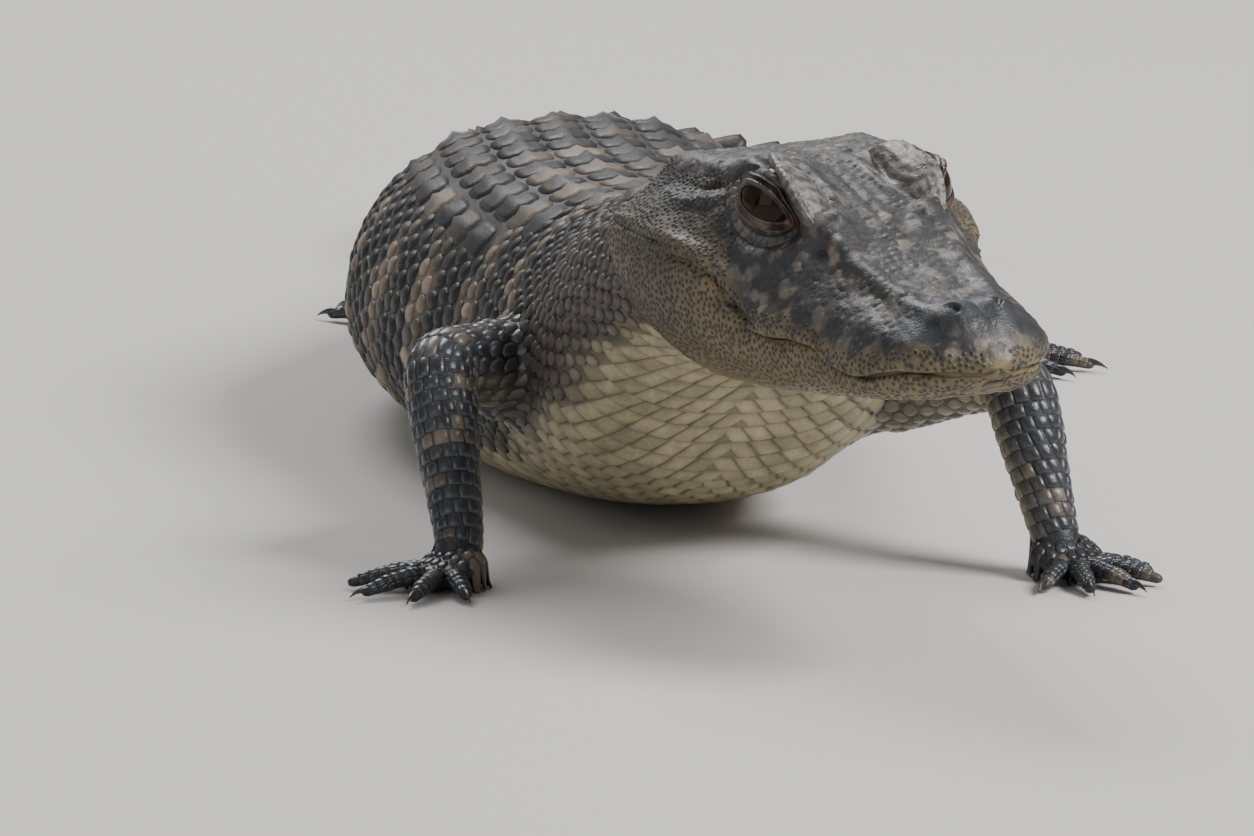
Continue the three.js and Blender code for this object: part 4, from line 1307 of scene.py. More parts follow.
class Coat:
    """Gathers fields of scales into one piece of the coat."""

    shapes: dict[ScaleKind, ScaleShape] = {}

    def __init__(self, name: str, skin: "SkinTree") -> None:
        """Starts an empty piece, which leaves out scales whose roots aren't on the skin.

        Args:
            name: the piece's name.
            skin: the skin that carries it.
        """
        self.name, self.skin = name, skin
        self.points, self.corners, self.sizes, self.colours, self.uvs = [], [], [], [], []
        self.count = 0
        self.roots: list[tuple[Array, Array]] = []

    def add(self, scales: ScaleField, reach: float = 0.7, snap: bool = True) -> None:
        """Adds a field of scales.

        Args:
            scales: the field.
            reach: how far off the skin a root may be before its scale is left out.
            snap: whether the scales' points follow the skin where it departs from the surface.
        """
        if not len(scales.a):
            return
        roots = scales.surface.points(scales.a, scales.b)
        away = self.skin.nearest(roots)[1]
        scales = scales.kept(away < reach)
        if not len(scales.a):
            return
        shape = self.shape(scales.kind)
        number, per = len(scales.a), len(shape.points)
        twist = np.broadcast_to(np.asarray(scales.twist, float), (number,))
        cos, sin = np.cos(twist)[:, None], np.sin(twist)[:, None]
        l, w = shape.points[None, :, 0], shape.points[None, :, 1]
        along, across = l * scales.length[:, None], w * scales.width[:, None]
        along, across = along * cos - across * sin, along * sin + across * cos
        if scales.level:
            root, ahead, aside, out = (part[:, None, :] for part in scales.frames())
            base = (root + ahead * along[..., None] + aside * across[..., None]).reshape(-1, 3)
            normals = np.repeat(out[:, 0], per, axis=0)
        else:
            a, b = (scales.a[:, None] + along).ravel(), (scales.b[:, None] + across).ravel()
            base = scales.surface.points(a, b)
            normals = scales.surface.normals(a, b)
        if snap:
            base = self.skin.follow(base)
        h = shape.points[None, :, 2]
        lift = np.where(h < 0, -scales.sink, h * scales.height[:, None] - scales.bed).ravel()
        points = base + normals * lift[:, None]
        points[:, 2] = np.maximum(points[:, 2], 0.02)
        reach_in = np.tile(shape.reach, number)
        colour = np.repeat(scales.colour, per, axis=0)
        # Where no edge colour is given, the rim is darkened by edge_shade: painted shade where the scale
        # curves down into the skin.
        rim = smoothstep(0.62, 1.0, reach_in)[:, None]
        if scales.edge_colour is None:
            colour = colour * (1 - rim * (1 - scales.edge_shade))
        else:
            edge = np.repeat(scales.edge_colour, per, axis=0)
            colour = colour * (1 - rim) + edge * rim
        if scales.dot is not None:
            centre = (reach_in < 0.5)[:, None] * np.repeat(scales.dot, per)[:, None]
            colour = colour * (1 - centre) + Tone.PIT * centre
        patch = np.repeat(scales.surface.patch(scales.a, scales.b), per, axis=0)
        uv = patch + np.tile(shape.points[:, :2], (number, 1)) * BAKE_PATCH
        offsets = self.count + np.arange(number) * per
        self.points.append(points)
        self.colours.append(colour)
        self.uvs.append(uv)
        self.corners.append((shape.corners[None, :] + offsets[:, None]).ravel())
        self.sizes.append(np.tile(shape.sizes, number))
        self.count += number * per
        # The skin between scales is coloured darker by gap_shade: painted shade in the gaps.
        self.roots.append((scales.surface.points(scales.a, scales.b), scales.colour * scales.gap_shade))

    @classmethod
    def shape(cls, kind: ScaleKind) -> ScaleShape:
        """The one model of a kind of scale.

        Args:
            kind: how it is shaped.

        Returns:
            The scale.
        """
        if kind not in cls.shapes:
            cls.shapes[kind] = ScaleMaker.make(kind)
        return cls.shapes[kind]

    def build(self, finish: "Finish", slot: str) -> Piece:
        """Makes the piece, with its markings and its bake map.

        Args:
            finish: what it is finished with.
            slot: name of a material slot; not used.

        Returns:
            The finished object.
        """
        points = np.concatenate(self.points)
        corners = np.concatenate(self.corners).astype(np.int32)
        sizes = np.concatenate(self.sizes).astype(np.int32)
        obj = mesh_piece(self.name, points, (corners, sizes))
        write_marking(obj, np.concatenate(self.colours))
        layer = obj.data.uv_layers.new(name="OFBake")
        layer.data.foreach_set("uv", np.concatenate(self.uvs)[corners].astype(np.float32).ravel())
        finish.dress(obj)
        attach(obj, "root")
        triangles = int((sizes - 2).sum())
        LOG.info("%s: %d triangles", self.name, triangles)
        return obj


# Skin

class SkinTree:
    """Finds the nearest places on the finished skin."""

    CLOSE = 3.5

    def __init__(self, obj: Piece) -> None:
        """Reads the skin's faces, in millimetres in the animal's frame."""
        points = own_points(obj)
        self.tree = BVHTree.FromPolygons(points.tolist(), [tuple(f.vertices) for f in obj.data.polygons])

    def nearest(self, points: Array) -> tuple[Array, Array]:
        """Nearest places on the skin and how far off they are.

        Args:
            points: the points, shape (n, 3).

        Returns:
            The places and the distances.
        """
        found = [self.tree.find_nearest(point) for point in points.tolist()]
        places = np.array([tuple(hit[0]) for hit in found]).reshape(-1, 3)
        return places, np.array([hit[3] for hit in found])

    def follow(self, points: Array) -> Array:
        """Points drawn onto the skin where it lies close by."""
        places, away = self.nearest(points)
        return np.where((away < self.CLOSE)[:, None], places, points)


class Skin:
    """One closed skin over head, neck, trunk, tail and legs."""

    BODY_SIDES = 72
    LEG_BLEND, FOOT_BLEND, NECK_BLEND = 6.5, 16.0, 2.2

    NODES = (["head", "jaw", "neck", "chest", "belly"] + [f"tail_{i}" for i in range(1, 7)]
             + [f"{leg}_{side}_{part}" for leg, parts in (("front", ("upper_arm", "forearm", "hand")),
                                                          ("hind", ("thigh", "shin", "foot")))
                for side in ("right", "left") for part in parts])

    def __init__(self, body: BodySurface, head: HeadSurface, legs: list[Leg]) -> None:
        """Keeps the surfaces that the skin is made from."""
        self.body, self.head, self.legs = body, head, legs

    def body_shape(self) -> Solid:
        """Closed loft of neck, trunk and tail.

        Returns:
            Points and faces.
        """
        places = np.concatenate([np.arange(-22, 420, 3.0), np.arange(420, SPINE_END - 1, 2.6), [SPINE_END]])
        sides = self.BODY_SIDES
        shares = (np.arange(sides) + 0.5) / sides * 2 - 1
        a = np.repeat(places, sides)
        b = np.tile(shares, len(places)) * self.body.half_girth(a)
        return loft(self.body.points(a, b).reshape(len(places), sides, 3))

    def head_shape(self) -> Solid:
        """Closed loft of the head, whose two seams meet under the chin.

        Returns:
            Points and faces.
        """
        table = self.head.table
        ring = np.concatenate([table[:, :1] * 0.5 + table[:, -1:] * 0.5, table[:, 1:-1]], axis=1)
        return loft(self.head.to_body(ring.reshape(-1, 3)).reshape(ring.shape))

    def build(self) -> Piece:
        """Joins the shapes and eases the places where they meet.

        Returns:
            The hide, closed and smooth.
        """
        base = mesh_piece("hide", *self.body_shape())
        point_outwards(base)
        shapes = [("head", self.head_shape())]
        for leg in self.legs:
            shapes += [(leg.plan.name, shape) for shape in leg.solids()]
        group = bpy.data.collections.new("joined")
        trees = {"body": SkinTree(base).tree}
        for i, (name, (points, faces)) in enumerate(shapes):
            obj = mesh_piece(f"shape_{i}", points, faces)
            point_outwards(obj)
            bpy.context.collection.objects.unlink(obj)
            group.objects.link(obj)
            if name not in trees:
                trees[name] = BVHTree.FromPolygons(points.tolist(), faces)
        select_only(base)
        union = base.modifiers.new("union", "BOOLEAN")
        union.operation, union.operand_type, union.solver = "UNION", "COLLECTION", "MANIFOLD"
        union.collection = group
        bpy.ops.object.modifier_apply(modifier=union.name)
        for obj in list(group.objects):
            bpy.data.objects.remove(obj)
        bpy.data.collections.remove(group)
        self.ease(base, trees)
        LOG.info("hide: %d faces", len(base.data.polygons))
        return base

    def ease(self, obj: Piece, trees: dict[str, BVHTree]) -> None:
        """Smooths the skin within a few millimetres of where two shapes meet.

        Args:
            obj: the hide.
            trees: the shapes that were joined, by name.
        """
        points = own_points(obj)
        rows = points.tolist()
        body_away = np.array([trees["body"].find_nearest(p)[3] for p in rows])
        for leg in self.legs:
            root = np.array(leg.plan.root)
            close = np.linalg.norm(points - root, axis=1) < 80
            away = np.full(len(points), 99.0)
            away[close] = [trees[leg.plan.name].find_nearest(rows[i])[3] for i in np.flatnonzero(close)]
            self.smooth(obj, (away < self.LEG_BLEND) & (body_away < self.LEG_BLEND), 16)
            foot = np.linalg.norm(points - leg.heel, axis=1) < self.FOOT_BLEND
            self.smooth(obj, foot, 2)
        away = np.array([trees["head"].find_nearest(p)[3] for p in rows])
        self.smooth(obj, (away < self.NECK_BLEND) & (body_away < self.NECK_BLEND), 4)

    @staticmethod
    def smooth(obj: Piece, chosen: Array, times: int) -> None:
        """Averages the chosen vertices with their neighbours a number of times.

        Args:
            obj: the piece.
            chosen: whether each vertex moves.
            times: how often.
        """
        if not chosen.any():
            return
        select_only(obj)
        with editing():
            bpy.ops.mesh.select_all(action="DESELECT")
        obj.data.vertices.foreach_set("select", chosen)
        with editing():
            bpy.ops.mesh.select_mode(type="VERT")
            bpy.ops.mesh.vertices_smooth(factor=0.5, repeat=times)

    @staticmethod
    def mark(obj: Piece, coats: list[Coat], head: HeadSurface) -> None:
        """Colours the skin as the scales that root next to each of its points, but darker: painted shade in
        the gaps between scales.

        Args:
            obj: the hide.
            coats: the pieces that carry the scales.
            head: the head's surface.
        """
        roots = np.concatenate([place for coat in coats for place, _ in coat.roots])
        shades = np.concatenate([shade for coat in coats for _, shade in coat.roots])
        tree = KDTree(len(roots))
        for i, root in enumerate(roots.tolist()):
            tree.insert(root, i)
        tree.balance()
        points = own_points(obj)
        near = np.array([tree.find(p)[1] for p in points.tolist()])
        colours = shades[near]
        local = (points - head.place) @ head.matrix
        on_head = (local[:, 0] > -9) & (np.abs(local[:, 1]) < 40) & (local[:, 2] > -18)
        own = head_marking(local)
        away = np.linalg.norm(roots[near] - points, axis=1)
        share = (on_head * smoothstep(1.2, 2.6, away))[:, None]
        write_marking(obj, colours * (1 - share) + own * share)


# Markings

class Tone:
    """Colours of the living hide, dry, as linear red, green and blue; the jaw's tan and the lids' darkest
    tone also carry painted shade.
    """

    BACK_DARK = np.array([0.017, 0.017, 0.019])
    BACK_BROWN = np.array([0.050, 0.042, 0.036])
    BAND = np.array([0.33, 0.255, 0.18])
    CREAM = np.array([0.40, 0.345, 0.215])
    GREY_BEAD = np.array([0.100, 0.083, 0.072])
    LIMB = np.array([0.026, 0.027, 0.033])
    LIMB_EDGE = np.array([0.12, 0.12, 0.125])
    LIMB_SPOT = np.array([0.19, 0.145, 0.105])
    HEAD_DARK = np.array([0.034, 0.032, 0.033])
    HEAD_TAN = np.array([0.185, 0.158, 0.130])
    # Tan of lips and jaw, kept darker than its own tone as painted shade on the lower sides of the head.
    JAW = np.array([0.175, 0.132, 0.066])
    JAW_DARK = np.array([0.045, 0.042, 0.042])
    LID = np.array([0.105, 0.052, 0.030])
    # Darkest tone of the lids; round the eye it also stands as painted shade in the creases and between the
    # small scales below.
    LID_DARK = np.array([0.018, 0.013, 0.012])
    LID_SCALE = np.array([0.085, 0.082, 0.080])
    BROW = np.array([0.21, 0.188, 0.165])
    NOSE = np.array([0.022, 0.023, 0.028])
    CHEEK = np.array([0.085, 0.071, 0.058])
    PIT = np.array([0.012, 0.011, 0.012])
    CLAW = np.array([0.035, 0.031, 0.028])


def mix(low: Array, high: Array, share: Array) -> Array:
    """Colours between two, each one colour or one for each row, by a share for each row."""
    share = np.clip(share, 0, 1)[:, None]
    return low * (1 - share) + high * share


def head_marking(local: Array) -> Array:
    """Colour of the head at points of its own frame, shape (n, 3).

    Args:
        local: the points.

    Returns:
        Colours, shape (n, 3).
    """
    x, y, z = local[:, 0], np.abs(local[:, 1]), local[:, 2]
    level = mouth_height(x)
    speckle = ripple(local, 7, 11) * 0.5 + ripple(local, 2.6, 12) * 0.45 + ripple(local, 1.3, 16) * 0.35
    crown = mix(Tone.HEAD_DARK, Tone.HEAD_TAN, smoothstep(0.05, 1.15, speckle))
    nose = (smoothstep(94, 106, x) * smoothstep(2.5, 6.0, z - level * 0.4)
            * smoothstep(121.5, 118, x + 0.3 * y))
    crown = mix(crown, Tone.NOSE, nose * 0.9)
    lower = z - level - 3.4 - 2.0 * smoothstep(60, 20, x) - 0.9 * ripple(local, 9, 13)
    tan = smoothstep(3.2, -2.4, lower)
    blotch = smoothstep(0.2, 0.7, ripple(local, 5.5, 14) * 0.55 + ripple(local, 2.2, 15) * 0.5)
    blotch = blotch * smoothstep(-9, 1, z - level)
    # The jaw's tan is darkened below its own tone: painted shade on the lower sides of the head.
    jaw = mix(Tone.JAW, Tone.JAW_DARK, blotch * 0.8)
    jaw = mix(jaw, Tone.CHEEK, smoothstep(48, 22, x) * smoothstep(-9, -3, z) * 0.75)
    jaw = mix(jaw, Tone.CREAM, smoothstep(-5.5, -9.0, z) * smoothstep(24, 12, y))
    return mix(crown, jaw, tan)


def body_marking(place: Array, arc: Array, half: Array, points: Array) -> Array:
    """Colour of neck, trunk and tail at places on the body's surface.

    Args:
        place: places along the spine.
        arc: arcs from the middle of the back.
        half: arc from back to belly at each place.
        points: the same places in the animal's frame.

    Returns:
        Colours, shape (n, 3).
    """
    share = np.abs(arc) / half
    waver = 5 * ripple(points, 60, 21) + 2.5 * ripple(points, 18, 22)
    on_trunk = smoothstep(325, 300, place)
    gap = np.where(place < 325, 30.0, 41.0)
    phase = ((place + 0.6 * waver + np.where(place < 325, 25, 14)) % gap) / gap
    band = smoothstep(0.46, 0.22, np.abs(phase - 0.5) * 2) * smoothstep(62, 78, place)
    speckle = smoothstep(-0.35, 0.45, ripple(points, 5, 23))
    back = mix(Tone.BACK_DARK, Tone.BACK_BROWN, smoothstep(-0.3, 1.0, ripple(points, 14, 24)) * 0.8)
    side_share = smoothstep(0.18, 0.5, share)
    strength = band * (0.5 + 0.5 * side_share) * (0.25 + 0.75 * speckle)
    colour = mix(back, Tone.BAND, strength)
    grey = smoothstep(74, 40, place) * smoothstep(0.08, 0.3, share)
    colour = mix(colour, Tone.GREY_BEAD, grey * 0.9)
    low = np.where(place < 80, 0.60, 0.68) + 0.03 * ripple(points, 20, 25)
    cream = smoothstep(low - 0.05, low + 0.09, share) * (0.35 + 0.65 * on_trunk)
    tail_belly = smoothstep(0.72, 0.9, share) * (1 - on_trunk) * smoothstep(640, 420, place)
    return mix(mix(colour, Tone.CREAM, cream * on_trunk), Tone.CREAM * 0.8, tail_belly)


def limb_marking(points: Array, lower: Array, seed: int) -> Array:
    """Colour of a leg.

    Args:
        points: places in the animal's frame.
        lower: how far each faces down and inwards, from 0 to 1.
        seed: picks the spots' pattern.

    Returns:
        Colours, shape (n, 3).
    """
    spots = smoothstep(0.5, 1.0, ripple(points, 9, seed))
    colour = mix(Tone.LIMB, Tone.LIMB_SPOT, spots * 0.6)
    return mix(colour, Tone.CREAM * 0.85, lower)


# Finishes

class NodeSheet:
    """A new material, with a short way to add nodes to it."""

    def __init__(self, name: str) -> None:
        """Starts the material with its shader."""
        self.material = bpy.data.materials.new(name)
        self.material.use_nodes = True
        self.tree = self.material.node_tree
        self.shader = self.tree.nodes["Principled BSDF"]

    def feed(self, node: bpy.types.Node, inputs: dict) -> None:
        """Sets or links the inputs of a node.

        Args:
            node: the node.
            inputs: for each input's name or number, its value or the socket that feeds it.
        """
        for key, value in inputs.items():
            if isinstance(value, bpy.types.NodeSocket):
                self.tree.links.new(value, node.inputs[key])
            else:
                node.inputs[key].default_value = value

    def add(self, kind: str, inputs: dict, output: str | int = 0, **settings: str) -> bpy.types.NodeSocket:
        """Adds a node.

        Args:
            kind: its type, without the words ShaderNode.
            inputs: as in feed.
            output: name or number of the output that is wanted.
            settings: its options.

        Returns:
            The output's socket.
        """
        node = self.tree.nodes.new(f"ShaderNode{kind}")
        for name, value in settings.items():
            setattr(node, name, value)
        self.feed(node, inputs)
        return node.outputs[output]


@dataclass(frozen=True)
class Finish:
    """Hide, scale or claw whose colour is the piece's marking, broken up and roughened."""

    name: str
    roughness: float = 0.42
    variation: float = 0.35
    grain: float = 1400.0
    bump: float = 0.25
    coat: float = 0.15

    def dress(self, obj: Piece) -> None:
        """Gives the piece this finish."""
        obj.data.materials.clear()
        obj.data.materials.append(self.material())

    def material(self) -> bpy.types.Material:
        """The material, made once and shared.

        Returns:
            The material of this finish's name.
        """
        if self.name in bpy.data.materials:
            return bpy.data.materials[self.name]
        sheet = NodeSheet(self.name)
        marking = sheet.add("Attribute", {}, "Color", attribute_name="marking")
        where = sheet.add("TexCoord", {}, "Object")
        fine = sheet.add("TexNoise", {"Vector": where, "Scale": self.grain, "Detail": 4.0}, "Fac")
        broad = sheet.add("TexNoise", {"Vector": where, "Scale": self.grain / 6, "Detail": 3.0}, "Fac")
        shade = sheet.add("Math", {0: fine, 1: 0.5, 2: broad}, operation="MULTIPLY_ADD")
        spread = sheet.add("MapRange", {"Value": shade, "From Min": 0.45, "From Max": 1.05,
                                        "To Min": 1 - self.variation, "To Max": 1 + self.variation})
        tint = sheet.add("VectorMath", {0: marking, "Scale": spread}, operation="SCALE")
        rough = sheet.add("MapRange", {"Value": broad, "From Min": 0.3, "From Max": 0.7,
                                       "To Min": self.roughness - 0.1, "To Max": self.roughness + 0.12})
        cracks = sheet.add("TexVoronoi", {"Vector": where, "Scale": self.grain * 0.7}, "Distance",
                           feature="DISTANCE_TO_EDGE")
        height = sheet.add("Math", {0: cracks, 1: 0.8, 2: fine}, operation="MULTIPLY_ADD")
        bump = sheet.add("Bump", {"Height": height, "Strength": self.bump, "Distance": 0.0004})
        sheet.feed(sheet.shader, {"Base Color": tint, "Roughness": rough, "Normal": bump,
                                  "Coat Weight": self.coat, "Coat Roughness": 0.25})
        return sheet.material


@dataclass(frozen=True)
class EyeFinish:
    """Wet dark-brown eye with a vertical slit pupil, drawn from the eye's own gaze coordinates."""

    name: str = "wet_eye"

    def dress(self, obj: Piece) -> None:
        """Gives an eye this finish.

        Args:
            obj: the eyeball, with its gaze coordinates.
        """
        sheet = NodeSheet(f"{self.name}_{obj.name}")
        gaze = sheet.add("Attribute", {}, "Vector", attribute_name="gaze")
        streak = sheet.add("TexNoise", {"Vector": gaze, "Scale": 2.2, "Detail": 5.0}, "Fac")
        iris = sheet.add("Mix", {0: streak, 6: (0.007, 0.0045, 0.003, 1), 7: (0.036, 0.019, 0.010, 1)}, 2,
                         data_type="RGBA")
        ball = sheet.add("Mix", {0: self.slit(sheet, gaze), 6: iris, 7: (0.001, 0.001, 0.001, 1)}, 2,
                         data_type="RGBA")
        sheet.feed(sheet.shader, {"Base Color": ball, "Roughness": 0.09, "IOR": 1.36,
                                  "Specular IOR Level": 0.25})
        obj.data.materials.clear()
        obj.data.materials.append(sheet.material)

    @staticmethod
    def slit(sheet: NodeSheet, gaze: bpy.types.NodeSocket) -> bpy.types.NodeSocket:
        """Draws the slit pupil, narrow across and pointed above and below.

        Args:
            sheet: the eye's material.
            gaze: places across, up and out, in millimetres.

        Returns:
            1 inside the slit and 0 outside it.
        """
        split = sheet.add("SeparateXYZ", {0: gaze}).node
        across = sheet.add("Math", {0: split.outputs["X"]}, operation="ABSOLUTE")
        up = sheet.add("Math", {0: split.outputs["Y"]}, operation="ABSOLUTE")
        wide = sheet.add("MapRange", {"Value": up, "From Min": 0.0, "From Max": 3.4,
                                      "To Min": 0.36, "To Max": 0.0})
        inside = sheet.add("Math", {0: wide, 1: across}, operation="SUBTRACT")
        return sheet.add("MapRange", {"Value": inside, "From Min": -0.06, "From Max": 0.06})


@dataclass(frozen=True)
class FloorFinish:
    """Plain pale matt floor."""

    name: str = "pale_floor"

    def dress(self, obj: Piece) -> None:
        """Gives the floor its finish."""
        sheet = NodeSheet(self.name)
        sheet.feed(sheet.shader, {"Base Color": (0.62, 0.61, 0.59, 1), "Roughness": 0.85})
        obj.data.materials.append(sheet.material)


# Eyes

class Eye:
    """An eyeball with its lids and the bony plate over it."""

    BROW_OUTER = ((30, 12.6, 34.6), (37.7, 15.2, 35.2), (45, 17, 34.3), (52.8, 17.7, 32.1),
                  (58.2, 16.9, 27.6), (63, 14.3, 22.6))
    BROW_INNER = ((29.6, 10.4, 34.2), (38, 7.4, 33.2), (46, 6.0, 31.2), (53.5, 6.6, 28.4),
                  (59.4, 8.8, 25.0), (63.4, 12.6, 22.2))

    def __init__(self, side: str, head: HeadSurface) -> None:
        """Sets the eye out on one side, "right" or "left"."""
        self.side, self.head = side, head
        self.sign = 1.0 if side == "left" else -1.0
        points, faces = loft(head.plain)
        self.tree = BVHTree.FromPolygons(points.tolist(), faces)

    def out(self, points: Array) -> Array:
        """Points of the head's left side moved to this side and into the body's frame."""
        return self.head.to_body(points * np.array([1, self.sign, 1]))

    def ball(self) -> Piece:
        """Eyeball with its own gaze coordinates.

        Returns:
            The eyeball.
        """
        centre = Frame.place(self.out(np.array(EYE_SEAT.centre))[None])[0]
        bpy.ops.object.select_all(action="DESELECT")
        bpy.ops.mesh.primitive_uv_sphere_add(segments=64, ring_count=40, radius=EYE_SEAT.radius / 1000,
                                             location=tuple(centre))
        obj = bpy.context.object
        obj.name = f"eyeball_{self.side}"
        bpy.ops.object.transform_apply(location=True, rotation=True, scale=True)
        bpy.ops.object.shade_smooth()
        local = (own_points(obj) - self.head.place) @ self.head.matrix * np.array([1, self.sign, 1])
        away = (local - np.array(EYE_SEAT.centre)) @ EYE_SEAT.axes().T
        layer = obj.data.attributes.new("gaze", "FLOAT_VECTOR", "POINT")
        layer.data.foreach_set("vector", away.astype(np.float32).ravel())
        EyeFinish().dress(obj)
        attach(obj, "root")
        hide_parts(f"eye_{self.side}")
        return obj

    def lids(self) -> Piece:
        """Lids and the folded skin round them, with a row of small square scales below, as one piece.

        Returns:
            The lids' piece.
        """
        seat, turns, steps = EYE_SEAT, 320, 72
        turn = np.repeat(np.linspace(0, 2 * math.pi, turns, endpoint=False)[None, :], steps, axis=0).ravel()
        beyond = np.repeat(-3 + (seat.reach + 3) * np.linspace(0, 1, steps)[:, None], turns, axis=1).ravel()
        flat = seat.places(turn, beyond)
        axes, centre = seat.axes(), np.array(seat.centre)
        base = self.heights(flat)
        base = np.maximum(self.evened(base.reshape(steps, turns)).ravel(), seat.cover(flat))
        local = np.concatenate([flat, base[:, None]], axis=1)
        lift, colours = self.folds(turn, beyond, centre + local @ axes)
        lift = np.maximum(lift, seat.cover(flat) - 0.25 - base)
        placed = centre + (local + unit(local + np.array([0, 0, 6.0])) * lift[:, None]) @ axes
        count = np.arange(steps * turns).reshape(steps, turns)
        after = np.roll(count, -1, axis=1)
        quads = np.stack([count[:-1], after[:-1], after[1:], count[1:]], axis=-1).reshape(-1, 4)
        obj = mesh_piece(f"eyelids_{self.side}", self.out(placed), quads.tolist())
        self.face_out(obj)
        write_marking(obj, colours)
        Finish("lid_hide", roughness=0.38, grain=1800, bump=0.3, coat=0.18).dress(obj)
        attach(obj, "root")
        return obj

    def face_out(self, obj: Piece) -> None:
        """Turns the faces of an open piece away from the eye's centre.

        Args:
            obj: the piece.
        """
        mesh = obj.data
        centre = Vector(Frame.place(self.out(np.array(EYE_SEAT.centre))[None])[0])
        inward = sum((face.center - centre).dot(face.normal) < 0 for face in mesh.polygons)
        if inward > len(mesh.polygons) / 2:
            mesh.flip_normals()

    def heights(self, flat: Array) -> Array:
        """Heights of the head's surface along the gaze.

        Args:
            flat: places on the plane square to the gaze.

        Returns:
            A height for each.
        """
        axes, centre = EYE_SEAT.axes(), np.array(EYE_SEAT.centre)
        starts = centre + flat @ axes[:2] + 30 * axes[2]
        hits = [self.tree.ray_cast(Vector(start), Vector(-axes[2]), 34.0)[3] for start in starts.tolist()]
        return np.array([-4.0 if hit is None else 30 - hit for hit in hits])

    @staticmethod
    def evened(table: Array) -> Array:
        """Averages a table of heights with its neighbours, round the eye and outwards.

        Args:
            table: a row of heights for each step outwards.

        Returns:
            The evened table.
        """
        for _ in range(6):
            table = (np.roll(table, 1, axis=1) + 2 * table + np.roll(table, -1, axis=1)) / 4
            table[1:-1] = (table[:-2] + 2 * table[1:-1] + table[2:]) / 4
        return table

    def folds(self, turn: Array, beyond: Array, points: Array) -> tuple[Array, Array]:
        """Height and colour of the lids' folds.

        Args:
            turn: angle round the opening.
            beyond: steps outside its edge.
            points: the same places on the head, left side.

        Returns:
            Heights above the head's surface, and colours.
        """
        def ridge(place: float | Array, width: float) -> Array:
            """1 on a line round the opening, falling off to each side."""
            return np.exp(-((beyond - place) / width) ** 2)

        upper = smoothstep(-0.25, 0.35, np.sin(turn))
        lower = 1 - upper
        wander = 0.8 * np.sin(turn * 5 + 1) + 0.5 * np.sin(turn * 11)
        crease = 0.5 + 0.5 * np.cos(turn * 46 + 2.5 * np.sin(turn * 3))
        cells = np.abs(np.sin(turn * 14 + 0.4 * np.sin(turn * 5))) ** 0.35
        about = beyond + wander * 0.4
        crescent = lower * smoothstep(8.5, 10.5, about) * smoothstep(19.5, 17.5, about)
        lift = 0.62 * ridge(3.6, 3.4) * (1 + 0.12 * crease)
        lift += lower * (-0.35 * ridge(8.0, 1.8) - 0.4 * ridge(21, 2))
        lift += crescent * (0.12 + 0.42 * cells)
        lift += upper * (-0.5 * ridge(8.8, 2.0) + 0.5 * ridge(13.5 + wander, 3)
                         - 0.7 * ridge(19 + wander, 2.4))
        lift += 0.06 * crease * smoothstep(6, 10, beyond) * smoothstep(26, 20, beyond) * (1 - crescent)
        reach = EYE_SEAT.reach
        lift -= 0.5 * smoothstep(0.5, -3, beyond) + 0.3 * smoothstep(reach - 2.5, reach, beyond)
        lift -= 0.9 * upper * smoothstep(17, 25, beyond)
        hide = head_marking(points)
        rim = mix(Tone.LID, Tone.LID_DARK, 0.5 + 0.5 * ripple(points, 1.6, 33) + 0.45 * upper)
        # Past the lid's rim the surround turns to the lids' darkest tone: painted shade in the creases round
        # the eye and under the brow plate.
        around = mix(rim, Tone.LID_DARK, smoothstep(6.5, 9.5, beyond))
        pale = Tone.LID_SCALE * (1 + 0.25 * ripple(points, 1.2, 34))[:, None]
        # The dark between the pale small scales below the eye is painted shade in their gaps.
        scales = mix(Tone.LID_DARK, pale, crescent * cells)
        around = mix(around, scales, lower * smoothstep(8, 10, beyond))
        around = mix(around, Tone.LID * 0.8, upper * ridge(13.5 + wander, 2.4) * 0.5)
        return lift, mix(around, hide, smoothstep(18.5, 24, beyond))

    def ground(self, points: Array) -> Array:
        """Height of the head's surface straight below or above points of its left side.

        Args:
            points: the points, shape (n, 3).

        Returns:
            A height for each, its own where there is no surface.
        """
        rows = points.tolist()
        hits = [self.tree.ray_cast(Vector((x, y, 60.0)), Vector((0, 0, -1)))[0] for x, y, _ in rows]
        return np.array([row[2] if hit is None else hit[2] for hit, row in zip(hits, rows)])

    def brow(self) -> Piece:
        """Horny plate over the eye, leaf-shaped, streaked along its length and rough at its outer edge.

        Returns:
            The plate.
        """
        rows, columns = 90, 34
        shares = np.linspace(0, 1, rows)
        outer = catmull_rom(np.array([self.BROW_OUTER]), shares)[0][:, None]
        inner = catmull_rom(np.array([self.BROW_INNER]), shares)[0][:, None]
        w = np.linspace(0, 1, columns)[None, :, None]
        t = shares[:, None, None]
        sheet = inner * (1 - w) + outer * w
        ground = self.ground(sheet.reshape(-1, 3)).reshape(rows, columns)
        rooted = np.maximum(smoothstep(0.72, 0.0, w[..., 0]), smoothstep(0.2, 0.0, t[..., 0]))
        ends = np.clip(np.sin(math.pi * t), 0, 1) ** 0.5
        sheet[..., 2] = sheet[..., 2] * (1 - rooted) + np.minimum(ground + 0.2, sheet[..., 2]) * rooted
        up = unit(np.cross(np.gradient(sheet, axis=0), np.gradient(sheet, axis=1)))
        up = up * np.sign(up[..., 2:3])
        streak = np.sin(w * 34 + 2.2 * np.sin(t * 6) + 1.3 * np.sin(t * 17))
        pits = np.sin(t * 46 + 3 * np.sin(w * 9)) * np.sin(w * 21 + 2)
        bulge = 1.3 * smoothstep(0.0, 0.6, w) * (1 - 0.75 * smoothstep(0.82, 1.06, w))
        bulge = bulge - 1.3 * smoothstep(0.2, 0.0, w)
        margin = smoothstep(0.86, 1.0, w) * (0.3 + 0.28 * np.sin(t * 88) * np.sin(t * 31 + 1))
